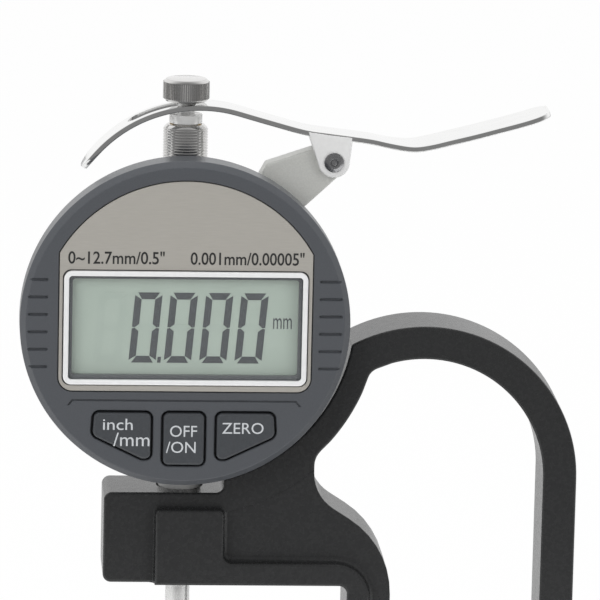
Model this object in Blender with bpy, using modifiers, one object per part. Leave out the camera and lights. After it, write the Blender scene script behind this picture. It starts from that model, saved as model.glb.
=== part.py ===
"""Digital thickness gauge: a ring-cased indicator with a finger lever, carried by a C-frame with a D-handle.

Metres, +Z up along the spindle, +Y to the back. The origin is on the spindle's axis, at the underside
of the frame.
"""

import math

import bmesh
import bpy
from mathutils import Matrix, Vector

MM = 0.001

# Clearances
SEAT = 0.3 * MM  # between pieces that rest on each other
SNUG = 0.2 * MM  # round a pressed-in or sliding round piece

# C-frame and handle
frame_thickness = 14.0 * MM
arm_height = 14.0 * MM
throat_height = 38.1 * MM
throat_depth = 30.8 * MM
block_height = 17.0 * MM
block_reach = 14.1 * MM  # spindle axis to the block's free end
arm_reach = 9.5 * MM  # spindle axis to the lower arm's free end
spine_width = 8.2 * MM
cradle_gap = 1.2 * MM  # indicator case to the frame's round seat
cradle_width = 4.6 * MM
handle_reach = 72.9 * MM
grip_width = 6.2 * MM
arch_band = 6.1 * MM
arch_drop = 1.4 * MM  # top of the handle below the middle of the dial
arch_start = -9.0  # where the arch leaves the case, in degrees about the dial
heel_band = 6.4 * MM
heel_flat = 2.4 * MM  # of the window's foot between its two rounds
rim_width = 4.2 * MM
rim_raise = 2.2 * MM
rim_bend = 6.5 * MM
web_drop = 0.5 * MM
boss_left = 4.9 * MM
boss_right = 7.9 * MM
boss_drop = 2.6 * MM
edge_round = 0.5 * MM
lobe_reach = 24.5 * MM  # spindle axis to the window's lower lobe
lobe_rise = 16.5 * MM  # above the block's underside
lobe_round = 8.0 * MM
knee_rise = 7.2 * MM  # above the block's underside
knee_round = 17.0 * MM
heel_round = 5.0 * MM
crown_round = 2.8 * MM
horn_round = 1.0 * MM
tip_round = 2.5 * MM
block_round = 1.5 * MM
throat_round = 4.0 * MM
relief_round = 2.0 * MM
web_arc_gap = 7.5 * MM  # case to the top of the web's pocket
web_heel = 15.0 * MM  # throat to the end of the web's pocket

# Indicator case
case_radius = 30.0 * MM
case_wall = 1.8 * MM
body_inset = 2.6 * MM  # moulded front past the metal body
case_gap = 2.9 * MM  # case to the top of the block
face_reach = 14.0 * MM  # spindle axis to the front of the dial
shell_lip = 1.5 * MM  # of the moulded front, behind its cavity
face_wall = 2.0 * MM
rim_chamfer = 1.1 * MM
ring_depth = 11.9 * MM
cover_thickness = 1.7 * MM
cover_inset = 0.4 * MM
cover_edge = 0.3 * MM
stem_boss_width = 13.0 * MM
stem_boss_depth = 5.2 * MM
post_radius = 2.3 * MM
post_inset = 4.0 * MM  # body to the middle of a post
post_angles = (72, 108, 213, 327)
case_screw_radius = 1.0 * MM
case_screw_head = 1.9 * MM
case_screw_head_height = 0.8 * MM

# Dial face
plate_inset = 3.6 * MM  # case to the plate's round top
plate_side_inset = 3.5 * MM  # round top's widest to the straight sides
plate_margin = 0.8 * MM  # plate's side to the display's frame
plate_foot = 1.2 * MM  # display's frame to the plate's lower edge
key_room = 17.7 * MM  # plate's lower edge to the case
name_room = 16.5 * MM  # display's frame to the top of the plate
plate_thickness = 0.6 * MM
plate_corner = 2.5 * MM
trim_width = 0.95 * MM
trim_height = 1.1 * MM
window_thickness = 0.8 * MM
window_lip = 0.6 * MM
trim_corner = 0.8 * MM
glass_corner = 0.3 * MM
lcd_thickness = 2.6 * MM

# Buttons
button_drop = 4.0 * MM  # plate's lower edge to the keys
button_corner = 1.0 * MM
button_rise = 0.6 * MM
button_gap = 0.35 * MM
button_flange = 0.7 * MM
button_flange_thickness = 0.5 * MM
button_travel = 0.5 * MM
button_edge = 0.25 * MM
side_button_inner = 6.0 * MM
side_button_tip_drop = 4.2 * MM
side_button_margin = 5.2 * MM  # key's foot to the case
side_button_foot = 1.6 * MM
side_button_lean = 0.3 * MM
side_button_tip_round = 1.4 * MM
middle_button_half_width = 3.7 * MM
middle_button_margin = 4.1 * MM  # key's foot to the case
mat_margin = 0.7 * MM  # past the keys' flanges

# Electronics
board_inset = 6.7 * MM  # body to the board's edge
board_thickness = 1.6 * MM
board_screw_inset = 2.8 * MM  # board's edge to its screws
board_screw_radius = 0.7 * MM
board_screw_head = 1.3 * MM
board_screw_head_height = 0.5 * MM
board_boss_radius = 1.6 * MM
sensor_width = 10.0 * MM
scale_width = 7.0 * MM
scale_length = 16.0 * MM
scale_thickness = 1.0 * MM
reading_gap = 0.5 * MM  # sensor to the scale

# Battery
battery_gap = 2.3 * MM  # holder to the body's wall
battery_thickness = 3.2 * MM
battery_drop = 1.0 * MM
holder_wall = 1.0 * MM
coin_slot_width = 1.6 * MM
coin_slot_length = 12.0 * MM
coin_slot_depth = 0.8 * MM
contact_width = 4.0 * MM
contact_thickness = 0.4 * MM
contact_length = 5.0 * MM
contact_slot_half = 1.0 * MM

# Spindle train
spindle_travel = 12.7 * MM
stud_height = 2.4 * MM  # of the spindle in the cap
spindle_radius = 2.25 * MM
bush_wall = 0.5 * MM
bush_length = 8.0 * MM
stem_radius = 4.0 * MM
collar_radius = 4.1 * MM
collar_height = 6.9 * MM
collar_chamfer = 0.6 * MM
shoulder_radius = 3.0 * MM
shoulder_height = 1.6 * MM
neck_radius = 1.6 * MM
neck_height = 2.4 * MM
cap_radius = 4.25 * MM
cap_height = 4.1 * MM
cap_chamfer = 0.6 * MM
anvil_radius = 5.0 * MM
anvil_flat_height = 3.0 * MM
anvil_height = 8.0 * MM
anvil_stand = 6.0 * MM  # lower anvil's face above the arm
anvil_shank_radius = 2.5 * MM
anvil_shank_length = 9.0 * MM
anvil_chamfer = 0.4 * MM
tip_stud_radius = 1.25 * MM
tip_stud_length = 4.2 * MM
guide_block_height = 6.0 * MM
guide_block_width = 8.6 * MM
guide_block_depth = 7.0 * MM
guide_block_drop = 4.0 * MM
guide_pin_radius = 0.8 * MM
guide_pin_length = 4.8 * MM
rail_wall = 0.9 * MM
rail_spare = 1.3 * MM  # of rail past the pin's travel
spring_wire = 0.25 * MM  # radius of the wire
spring_turns = 8
set_screw_radius = 1.9 * MM
set_screw_socket = 0.9 * MM
set_screw_length = 2.4 * MM

# Lifting lever
pivot_angle = 46.45
pivot_stand = 9.19 * MM  # off the case
strip_thickness = 1.0 * MM
strip_width = 7.6 * MM
strip_inset = 4.9 * MM  # the bow's radius less than the case's
strip_crown_across = 2.6 * MM
strip_stand = 8.1 * MM  # case to the middle of the bow's crown
strip_run = 57.05 * MM  # bow to the pad's tip
strip_tip_angle = 147.5
strip_lead_angle = 74.4
pad_width = 11.0 * MM
pad_tip_radius = 3.4 * MM
pad_start = 8.0 * MM  # past the pivot
pad_spread = 10.0 * MM
pad_blend = 12.0 * MM
strip_end_round = 2.6 * MM
ear_thickness = 1.1 * MM
ear_radius = 2.9 * MM
ear_left = 5.0 * MM
ear_right = 3.4 * MM
bracket_thickness = 4.4 * MM
bracket_end_radius = 2.8 * MM
bracket_step = 3.6 * MM  # height of the foot's upper end
bracket_toe_round = 0.5 * MM
bracket_corner_left = 4.2 * MM  # of the pivot
bracket_corner_rise = 2.0 * MM
bracket_corner_round = 1.5 * MM
bracket_edge = 0.25 * MM
bracket_foot_angles = (62.0, 42.0)
pin_radius = 1.2 * MM
pin_head_radius = 1.8 * MM
pin_head_height = 0.6 * MM
foot_screw_angles = (54.5, 46.5)
foot_screw_radius = 0.8 * MM
foot_screw_head = 1.4 * MM
foot_screw_head_height = 0.9 * MM
foot_screw_length = 3.2 * MM  # out from the body

# Middle line of the strip after the bow, as shares of its run: down to the ears, then up to the pad
strip_knots = (
    (0.000, 0.0000),
    (0.104, -0.0293),
    (0.213, -0.0582),
    (0.292, -0.0696),
    (0.365, -0.0784),
    (0.429, -0.0871),
    (0.492, -0.0994),
    (0.560, -0.1064),
    (0.618, -0.0976),
    (0.681, -0.0819),
    (0.758, -0.0626),
    (0.835, -0.0415),
    (0.916, -0.0188),
    (1.000, 0.0093),
)

# The dial's layout, which follows the case
body_radius = case_radius - body_inset
plate_radius = case_radius - plate_inset
plate_half_width = plate_radius - plate_side_inset
plate_bottom = case_radius - key_room
trim_half_width = plate_half_width - plate_margin
trim_top = plate_radius - name_room
trim_bottom = plate_bottom - plate_foot
button_top = plate_bottom + button_drop
side_button_outer = math.sqrt(plate_radius**2 - (button_top + side_button_tip_drop) ** 2)
mat_half_width = side_button_outer + button_flange + mat_margin
post_circle = body_radius - post_inset
board_radius = body_radius - board_inset
board_screw_circle = board_radius - board_screw_inset
board_screw_drop = button_top - button_flange - SEAT - board_boss_radius
board_screw_side = math.degrees(math.asin(board_screw_drop / board_screw_circle))
board_screw_angles = (90, 180 + board_screw_side, 360 - board_screw_side)
battery_room = body_radius - case_wall - battery_gap - guide_block_width / 2 - 2 * SEAT
battery_radius = battery_room / 2 - holder_wall - SNUG
pivot_across = (case_radius + pivot_stand) * math.cos(math.radians(pivot_angle))
pivot_rise = (case_radius + pivot_stand) * math.sin(math.radians(pivot_angle))
strip_radius = case_radius - strip_inset
strip_crown_rise = case_radius + strip_stand

# Heights that follow
anvil_face = arm_height + anvil_stand
throat_top = arm_height + throat_height
block_top = throat_top + block_height
dial_height = block_top + case_gap + case_radius
cap_underside = dial_height + strip_crown_rise + strip_thickness / 2 + SEAT
shoulder_top = cap_underside - neck_height
shoulder_bottom = shoulder_top - shoulder_height
collar_bottom = dial_height + body_radius + SEAT
upper_anvil_face = anvil_face + SEAT

# Depths that follow, all along Y
face_front = -face_reach
face_inside = face_front + face_wall
shell_back = -frame_thickness / 2 - SEAT
ring_front = shell_back + SEAT
ring_back = ring_front + ring_depth
cover_front = ring_back + SEAT
cover_back = cover_front + cover_thickness
lcd_front = face_inside + SEAT
lcd_back = lcd_front + lcd_thickness
board_front = lcd_back + SEAT
board_back = board_front + board_thickness
sensor_front = board_back + SEAT
flange_front = face_inside + SEAT
flange_back = flange_front + button_flange_thickness
mat_front = flange_back + button_travel + SNUG
scale_back = -guide_block_depth / 2 - SEAT
scale_front = scale_back - scale_thickness
sensor_back = scale_front - reading_gap


def new_collection(name):
    collection = bpy.data.collections.new(name)
    bpy.context.scene.collection.children.link(collection)
    return collection


for leftover in list(bpy.data.objects):
    bpy.data.objects.remove(leftover)
GAUGE = new_collection("digital_thickness_gauge")
CUTTERS = new_collection("cutters")


def arc(across, up, radius, start, end, steps):
    """Points along a circle, from one angle to another in degrees."""
    turns = [math.radians(start + (end - start) * k / steps) for k in range(steps + 1)]
    return [(across + radius * math.cos(t), up + radius * math.sin(t)) for t in turns]


def fillet_steps(radius, sweep):
    """More facets on a longer or larger round."""
    return max(2, round(abs(sweep) * (2.2 + radius / (4 * MM))))


def rounded(corners):
    """A closed outline from corners, each (x, z) or (x, z, fillet radius)."""
    points = []
    for i, (x, z, *fillet) in enumerate(corners):
        here = Vector((x, z))
        if not fillet:
            points.append((x, z))
            continue
        back = (Vector(corners[i - 1][:2]) - here).normalized()
        ahead = (Vector(corners[(i + 1) % len(corners)][:2]) - here).normalized()
        half = back.angle(ahead) / 2
        centre = here + (back + ahead).normalized() * fillet[0] / math.sin(half)
        first = here + back * fillet[0] / math.tan(half) - centre
        last = here + ahead * fillet[0] / math.tan(half) - centre
        start = math.atan2(first.y, first.x)
        sweep = (math.atan2(last.y, last.x) - start + math.pi) % math.tau - math.pi
        steps = fillet_steps(fillet[0], sweep)
        turns = [start + sweep * k / steps for k in range(steps + 1)]
        points += [(centre.x + fillet[0] * math.cos(t), centre.y + fillet[0] * math.sin(t)) for t in turns]
    return points


def grown(points, distance):
    """The outline moved outwards; its points run anticlockwise."""
    moved = []
    for i, point in enumerate(points):
        here = Vector(point)
        back = (here - Vector(points[i - 1])).normalized()
        ahead = (Vector(points[(i + 1) % len(points)]) - here).normalized()
        side = (Vector((back.y, -back.x)) + Vector((ahead.y, -ahead.x))).normalized()
        reach = distance / max(0.5, side.dot(Vector((ahead.y, -ahead.x))))
        moved.append((here.x + side.x * reach, here.y + side.y * reach))
    return moved


def smooth_path(knots, steps):
    """A curve through the knots, with a few points between each pair."""
    ends = [knots[0], *knots, knots[-1]]
    points = []
    for k in range(1, len(ends) - 2):
        p0, p1, p2, p3 = (Vector(p) for p in ends[k - 1 : k + 3])
        for step in range(steps):
            t = step / steps
            point = p1 * 2 + (p2 - p0) * t
            point += (p0 * 2 - p1 * 5 + p2 * 4 - p3) * t**2
            point += (p1 * 3 - p0 - p2 * 3 + p3) * t**3
            points.append(tuple(point / 2))
    return points + [knots[-1]]


def circle(across, up, radius, steps=24):
    return arc(across, up, radius, 0, 360 * (steps - 1) / steps, steps - 1)


def finish(piece, colour, roughness, metallic=0.0):
    """Gives a piece its own material and smooth round faces."""
    material = bpy.data.materials.new(piece.name)
    material.use_nodes = True
    shader = material.node_tree.nodes["Principled BSDF"]
    shader.inputs["Base Color"].default_value = (*colour, 1)
    shader.inputs["Roughness"].default_value = roughness
    shader.inputs["Metallic"].default_value = metallic
    piece.data.materials.clear()
    piece.data.materials.append(material)
    piece.data.shade_smooth()
    piece.data.set_sharp_from_angle(angle=math.radians(32))
    return piece


def mesh_piece(name, bm, location, collection=None):
    mesh = bpy.data.meshes.new(name)
    bmesh.ops.recalc_face_normals(bm, faces=bm.faces)
    bm.to_mesh(mesh)
    bm.free()
    piece = bpy.data.objects.new(name, mesh)
    piece.location = location
    (collection or GAUGE).objects.link(piece)
    return piece


def box(name, across, deep, up):
    """A block from its low and high values along X, Y and Z."""
    spans = (across, deep, up)
    size = [high - low for low, high in spans]
    bm = bmesh.new()
    bmesh.ops.create_cube(bm, size=1)
    bmesh.ops.scale(bm, vec=size, verts=bm.verts)
    return mesh_piece(name, bm, [(low + high) / 2 for low, high in spans])


def rod(name, radius, start, end, segments=24):
    """A cylinder between two points."""
    start, end = Vector(start), Vector(end)
    bm = bmesh.new()
    bmesh.ops.create_cone(
        bm, cap_ends=True, segments=segments, radius1=radius, radius2=radius, depth=(end - start).length
    )
    piece = mesh_piece(name, bm, (start + end) / 2)
    piece.rotation_mode = "QUATERNION"
    piece.rotation_quaternion = (end - start).to_track_quat("Z", "Y")
    return piece


def turned(name, profile, location, closed=False, steps=32, faces_front=False):
    """A revolved profile of (radius, height) from top to bottom; a closed one leaves a bore."""
    bm = bmesh.new()
    rings = [bm.verts.new((radius, 0, height)) for radius, height in profile]
    for first, second in zip(rings, rings[1:] + rings[:1] if closed else rings[1:]):
        bm.edges.new((first, second))
    mesh = bpy.data.meshes.new(name)
    bm.to_mesh(mesh)
    bm.free()
    piece = bpy.data.objects.new(name, mesh)
    piece.location = location
    piece.rotation_euler.x = math.pi / 2 if faces_front else 0
    GAUGE.objects.link(piece)
    screw = piece.modifiers.new("turn", "SCREW")
    screw.steps = screw.render_steps = steps
    screw.use_merge_vertices = True
    screw.merge_threshold = 0.001 * MM
    screw.use_normal_calculate = True
    screw.use_smooth_shade = True
    return baked(piece)


def baked(piece):
    """Turns an object with modifiers, or a curve, into a plain mesh at the same place."""
    bpy.context.view_layer.update()
    graph = bpy.context.evaluated_depsgraph_get()
    mesh = bpy.data.meshes.new_from_object(piece.evaluated_get(graph))
    placed = bpy.data.objects.new("baked", mesh)
    placed.matrix_world = piece.matrix_world
    GAUGE.objects.link(placed)
    name = piece.name
    bpy.data.objects.remove(piece)
    placed.name = name
    bm = bmesh.new()
    bm.from_mesh(mesh)
    bmesh.ops.remove_doubles(bm, verts=bm.verts, dist=0.001 * MM)
    bmesh.ops.recalc_face_normals(bm, faces=bm.faces)
    bm.to_mesh(mesh)
    bm.free()
    return placed


def plate(name, outlines, front, back, edge=0.0, from_above=False):
    """A flat piece: outlines in the XZ plane between two depths, or in the XY plane between two heights."""
    curve = bpy.data.curves.new(name, "CURVE")
    curve.dimensions = "2D"
    curve.fill_mode = "BOTH"
    curve.extrude = (back - front) / 2 - edge
    curve.bevel_depth = edge
    curve.bevel_resolution = 0
    curve.offset = -edge
    for points in outlines:
        spline = curve.splines.new("POLY")
        spline.points.add(len(points) - 1)
        spline.use_cyclic_u = True
        for point, (x, z) in zip(spline.points, points):
            point.co = (x, z, 0, 1)
    drawn = bpy.data.objects.new(name, curve)
    middle = (front + back) / 2
    drawn.location = (0, 0, middle) if from_above else (0, middle, 0)
    drawn.rotation_euler.x = 0 if from_above else math.pi / 2
    GAUGE.objects.link(drawn)
    return baked(drawn)


def combine(piece, others, operation):
    """Cuts, joins or intersects the piece with helper solids, which stay hidden among the cutters."""
    for other in others:
        GAUGE.objects.unlink(other)
        CUTTERS.objects.link(other)
        other.hide_render = True
        other.display_type = "WIRE"
        modifier = piece.modifiers.new(other.name, "BOOLEAN")
        modifier.operation = operation
        modifier.object = other
    return piece


def cut(piece, *cutters):
    return combine(piece, cutters, "DIFFERENCE")


def join(piece, *others):
    return combine(piece, others, "UNION")


def at_angle(radius, degrees):
    """A point on a circle about the middle of the dial."""
    turn = math.radians(degrees)
    return radius * math.cos(turn), dial_height + radius * math.sin(turn)


# Frame


def circles_meet(first, first_radius, second, second_radius):
    """The upper of the two points where two circles cross."""
    first, second = Vector(first), Vector(second)
    apart = second - first
    along = (first_radius**2 - second_radius**2 + apart.length**2) / (2 * apart.length)
    off = math.sqrt(first_radius**2 - along**2)
    across = Vector((-apart.y, apart.x)).normalized()
    return first + apart.normalized() * along + across * off


def angle_about(centre, point):
    return math.degrees(math.atan2(point[1] - centre[1], point[0] - centre[0]))


def handle_arch():
    """Middle and radius of the handle's outer arch, from the case's seat to the grip's outer side."""
    start = at_angle(case_radius + cradle_gap, arch_start)
    top = dial_height - arch_drop
    across = handle_reach - start[0]
    rise = top - start[1]
    radius = across + rise - math.sqrt(2 * across * rise)
    return (handle_reach - radius, top - radius), radius


def window_heel():
    """Radius of the window's round heel."""
    return handle_reach - grip_width - throat_depth - spine_width - heel_round - heel_flat


def window_outline():
    """The D-shaped hand opening, anticlockwise from its lower left corner."""
    dial = (0, dial_height)
    outer_arch, outer_radius = handle_arch()
    inner_radius = outer_radius - arch_band
    inner_side = handle_reach - grip_width
    arch = (inner_side - inner_radius, outer_arch[1])
    cradle = case_radius + cradle_gap + cradle_width
    spine_side = throat_depth + spine_width
    crown = circles_meet(dial, cradle, arch, inner_radius)
    clear = math.degrees(1.5 * crown_round)
    lobe_angle = math.degrees(math.acos(lobe_reach / cradle))
    lobe_top = dial_height - math.sqrt(cradle**2 - lobe_reach**2)
    return rounded(
        [
            (spine_side, heel_band, heel_round),
            (inner_side, heel_band, window_heel()),
        ]
        + arc(*arch, inner_radius, 0, angle_about(arch, crown) - clear / inner_radius, 18)
        + [(*crown, crown_round)]
        + arc(*dial, cradle, angle_about(dial, crown) - clear / cradle, clear / cradle - lobe_angle, 8)
        + [
            (lobe_reach, lobe_top, lobe_round / 2),
            (lobe_reach, throat_top + lobe_rise, lobe_round),
            (spine_side, throat_top + knee_rise, knee_round),
        ]
    )


def frame_outline():
    """The outer edge of the casting, anticlockwise from the underside of the lower arm."""
    dial = (0, dial_height)
    arch, arch_radius = handle_arch()
    cradle = case_radius + cradle_gap
    horn = at_angle(cradle, arch_start)
    clear = math.degrees(1.5 * horn_round)
    seat_angle = -math.degrees(math.acos(boss_right / cradle))
    return rounded(
        [
            (-arm_reach, 0, tip_round),
            (handle_reach, 0, window_heel() + heel_band),
        ]
        + arc(*arch, arch_radius, 0, angle_about(arch, horn) - clear / arch_radius, 22)
        + [(*horn, horn_round)]
        + arc(*dial, cradle, arch_start - clear / cradle, seat_angle, 18)
        + [
            (boss_right, block_top, block_round),
            (-block_reach, block_top, block_round),
            (-block_reach, throat_top, block_round),
            (throat_depth, throat_top, block_round),
            (throat_depth, arm_height, throat_round),
            (-arm_reach, arm_height, tip_round),
        ]
    )


def make_frame():
    half = frame_thickness / 2
    flat_front = -half
    rim_front = flat_front - rim_raise
    web_front = flat_front + web_drop
    outside = dial_height  # well beyond every edge
    web_arc = case_radius + web_arc_gap
    web_arc_end = -math.degrees(math.acos((throat_depth - rim_width) / web_arc))
    web_side = throat_depth + spine_width + 2 * rim_width
    rim_inner = throat_depth + rim_width
    frame = plate("frame_casting", [frame_outline(), window_outline()[::-1]], rim_front, half, edge_round)
    lowered = plate(
        "lowered_face",
        [
            rounded(
                [
                    (boss_right, -outside),
                    (handle_reach + outside, -outside),
                    (handle_reach + outside, dial_height + outside),
                    (-outside, dial_height + outside),
                    (-outside, anvil_face),
                    (-outside, throat_top - case_gap),
                    (-boss_left, throat_top - case_gap),
                    (-boss_left, block_top - boss_drop, relief_round),
                    (boss_right, block_top - boss_drop, relief_round),
                    (boss_right, throat_top + rim_width, relief_round),
                    (rim_inner, throat_top + rim_width, rim_bend),
                    (rim_inner, arm_height - rim_width, rim_bend),
                    (boss_right, arm_height - rim_width, relief_round),
                ]
            )
        ],
        rim_front - outside,
        flat_front,
    )
    tip_lowered = box(
        "tip_lowered", (-outside, -boss_left), (rim_front - outside, flat_front), (-outside, anvil_face)
    )
    web = plate(
        "web_pocket",
        [
            rounded(
                arc(0, dial_height, web_arc, -math.degrees(math.acos(boss_right / web_arc)), web_arc_end, 8)
                + [
                    (web_side, dial_height - case_radius),
                    (web_side, arm_height),
                    (throat_depth + web_heel, rim_width, relief_round),
                    (boss_right, rim_width, relief_round),
                    (boss_right, arm_height - rim_width, relief_round),
                    (rim_inner, arm_height - rim_width, rim_bend),
                    (rim_inner, throat_top + rim_width, rim_bend),
                    (boss_right, throat_top + rim_width, relief_round),
                ]
            )
        ],
        flat_front - rim_raise / 2,
        web_front,
    )
    stem_bore = rod(
        "stem_bore", stem_radius + SEAT, (0, 0, throat_top - case_gap), (0, 0, block_top + case_gap), 32
    )
    clamp_bore = rod(
        "clamp_bore",
        set_screw_radius + SEAT,
        (0, 0, throat_top + block_height / 2),
        (0, frame_thickness, throat_top + block_height / 2),
    )
    anvil_bore = rod(
        "anvil_bore",
        anvil_shank_radius + SEAT,
        (0, 0, arm_height - anvil_shank_length - SEAT),
        (0, 0, arm_height + anvil_stand),
    )
    anvil_clamp_bore = rod(
        "anvil_clamp_bore",
        set_screw_radius + SEAT,
        (0, 0, arm_height / 2),
        (0, frame_thickness, arm_height / 2),
    )
    cut(frame, lowered, tip_lowered, web, stem_bore, clamp_bore, anvil_bore, anvil_clamp_bore)
    return finish(frame, (0.030, 0.031, 0.034), 0.42)


def set_screw(name, height, seat_radius):
    """A socket set screw in the back of the frame, pressing on a shank of the given radius."""
    start = seat_radius + SEAT
    screw = rod(name, set_screw_radius, (0, start, height), (0, start + set_screw_length, height))
    socket = rod(
        name + "_socket",
        set_screw_socket,
        (0, start + set_screw_length / 2, height),
        (0, start + set_screw_length * 2, height),
        6,
    )
    return finish(cut(screw, socket), (0.12, 0.12, 0.13), 0.35, 1.0)


# Spindle train


def make_stem():
    bore = spindle_radius + SNUG + bush_wall + SNUG
    top = dial_height - body_radius + stem_boss_depth
    bottom = throat_top + SEAT
    profile = [
        (stem_radius, top),
        (stem_radius, bottom + anvil_chamfer),
        (stem_radius - anvil_chamfer, bottom),
        (bore, bottom),
        (bore, top),
    ]
    stem = turned("stem", profile, (0, 0, 0), closed=True)
    return finish(stem, (0.62, 0.62, 0.62), 0.25, 1.0)


def bush(name, bottom):
    inner = spindle_radius + SNUG
    outer = inner + bush_wall
    top = bottom + bush_length
    profile = [(outer, top), (outer, bottom), (inner, bottom), (inner, top)]
    return finish(turned(name, profile, (0, 0, 0), closed=True, steps=24), (0.62, 0.45, 0.20), 0.35, 1.0)


def make_collar():
    """The ringed collar on the case's crown, with a shank in the case's boss."""
    bore = spindle_radius + SNUG + bush_wall + SNUG
    top = collar_bottom + collar_height
    shank = collar_radius - collar_chamfer
    foot = dial_height + body_radius - stem_boss_depth
    profile = [
        (collar_radius - collar_chamfer, top),
        (collar_radius, top - collar_chamfer),
        (collar_radius, collar_bottom),
        (shank, collar_bottom),
        (shank, foot),
        (bore, foot),
        (bore, top),
    ]
    return finish(turned("top_collar", profile, (0, 0, 0), closed=True), (0.55, 0.54, 0.53), 0.3, 1.0)


def make_spindle():
    stud_top = cap_underside + stud_height
    rod_bottom = upper_anvil_face + anvil_height + SEAT
    tip = rod_bottom - tip_stud_length - SEAT
    profile = [
        (0, stud_top),
        (neck_radius, stud_top),
        (neck_radius, shoulder_top),
        (shoulder_radius, shoulder_top),
        (shoulder_radius, shoulder_bottom),
        (spindle_radius, shoulder_bottom),
        (spindle_radius, rod_bottom),
        (tip_stud_radius, rod_bottom),
        (tip_stud_radius, tip),
        (0, tip),
    ]
    return finish(turned("spindle", profile, (0, 0, 0), steps=24), (0.66, 0.66, 0.65), 0.2, 1.0)


def make_cap():
    """The lifting knob screwed on the top of the spindle."""
    top = cap_underside + cap_height
    bore_top = cap_underside + stud_height + SEAT
    profile = [
        (0, top),
        (cap_radius - cap_chamfer, top),
        (cap_radius, top - cap_chamfer),
        (cap_radius, cap_underside + cap_chamfer),
        (cap_radius - cap_chamfer, cap_underside),
        (neck_radius + SNUG, cap_underside),
        (neck_radius + SNUG, bore_top),
        (0, bore_top),
    ]
    return finish(turned("lifting_cap", profile, (0, 0, 0), steps=36), (0.56, 0.55, 0.54), 0.28, 1.0)


def make_upper_anvil():
    top = upper_anvil_face + anvil_height
    bore = tip_stud_radius + SNUG
    profile = [
        (spindle_radius + SEAT, top),
        (anvil_radius, upper_anvil_face + anvil_flat_height),
        (anvil_radius, upper_anvil_face + anvil_chamfer),
        (anvil_radius - anvil_chamfer, upper_anvil_face),
        (0, upper_anvil_face),
        (0, top - tip_stud_length - SEAT),
        (bore, top - tip_stud_length - SEAT),
        (bore, top),
        (spindle_radius + SEAT, top),
    ]
    anvil = turned("upper_anvil", profile, (0, 0, 0))
    return finish(anvil, (0.60, 0.60, 0.60), 0.18, 1.0)


def make_lower_anvil():
    seat = arm_height + SEAT
    profile = [
        (0, anvil_face),
        (anvil_radius - anvil_chamfer, anvil_face),
        (anvil_radius, anvil_face - anvil_chamfer),
        (anvil_radius, seat),
        (anvil_shank_radius, seat),
        (anvil_shank_radius, arm_height - anvil_shank_length),
        (0, arm_height - anvil_shank_length),
    ]
    return finish(turned("lower_anvil", profile, (0, 0, 0)), (0.60, 0.60, 0.60), 0.18, 1.0)


def guide_block_span():
    bottom = dial_height - guide_block_drop
    return bottom, bottom + guide_block_height


def make_guide_block():
    """The block clamped on the spindle that carries the scale, the guide pin and the foot of the spring."""
    bottom, top = guide_block_span()
    half = guide_block_width / 2
    depth = guide_block_depth / 2
    block = box("guide_block", (-half, half), (-depth, depth), (bottom, top))
    bore = rod("guide_block_bore", spindle_radius + SNUG, (0, 0, bottom - MM), (0, 0, top + MM))
    middle = (bottom + top) / 2
    pin_hole = rod(
        "guide_pin_hole", guide_pin_radius + SNUG, (spindle_radius, 0, middle), (half + MM, 0, middle), 16
    )
    return finish(cut(block, bore, pin_hole), (0.55, 0.42, 0.22), 0.4, 1.0)


def make_guide_pin():
    middle = sum(guide_block_span()) / 2
    start = spindle_radius + SNUG * 2
    pin = rod("guide_pin", guide_pin_radius, (start, 0, middle), (start + guide_pin_length, 0, middle), 16)
    return finish(pin, (0.6, 0.6, 0.6), 0.3, 1.0)


def make_guide_rail():
    """The slotted rail on the back cover that keeps the spindle from turning."""
    bottom, top = guide_block_span()
    pin_end = spindle_radius + SNUG * 2 + guide_pin_length
    left = guide_block_width / 2 + SEAT * 2
    right = pin_end + SEAT + rail_wall
    slot = guide_pin_radius + SNUG
    high = top + spindle_travel + rail_spare
    rail = box("guide_rail", (left, right), (-slot - rail_wall, cover_front - SEAT), (bottom, high))
    groove = box("rail_slot", (left - MM, pin_end + SEAT), (-slot, slot), (bottom - MM, high + MM))
    return finish(cut(rail, groove), (0.05, 0.05, 0.055), 0.5)


def make_spring():
    """The return spring between the guide block and the case's upper boss."""
    bottom = guide_block_span()[1] + SEAT + spring_wire
    top = dial_height + body_radius - case_wall - stem_boss_depth - SEAT - spring_wire
    coil = spindle_radius + SNUG + 3 * spring_wire
    per_turn = 8
    count = spring_turns * per_turn
    curve = bpy.data.curves.new("return_spring", "CURVE")
    curve.dimensions = "3D"
    curve.bevel_depth = spring_wire
    curve.bevel_resolution = 1
    curve.use_fill_caps = True
    spline = curve.splines.new("POLY")
    spline.points.add(count)
    for k, point in enumerate(spline.points):
        turn = math.tau * k / per_turn
        height = bottom + (top - bottom) * k / count
        point.co = (coil * math.cos(turn), coil * math.sin(turn), height, 1)
    spring = bpy.data.objects.new("return_spring", curve)
    GAUGE.objects.link(spring)
    return finish(baked(spring), (0.5, 0.5, 0.5), 0.3, 1.0)


def make_scale():
    middle = sum(guide_block_span()) / 2
    half = scale_width / 2
    scale = box(
        "measuring_scale",
        (-half, half),
        (scale_front, scale_back),
        (middle - scale_length / 2, middle + scale_length / 2),
    )
    return finish(scale, (0.10, 0.22, 0.12), 0.35)


# Indicator case


def moved_to_dial(points):
    return [(x, z + dial_height) for x, z in points]


def boss_angle():
    return math.degrees(math.asin(stem_boss_width / 2 / (body_radius - case_wall)))


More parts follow.
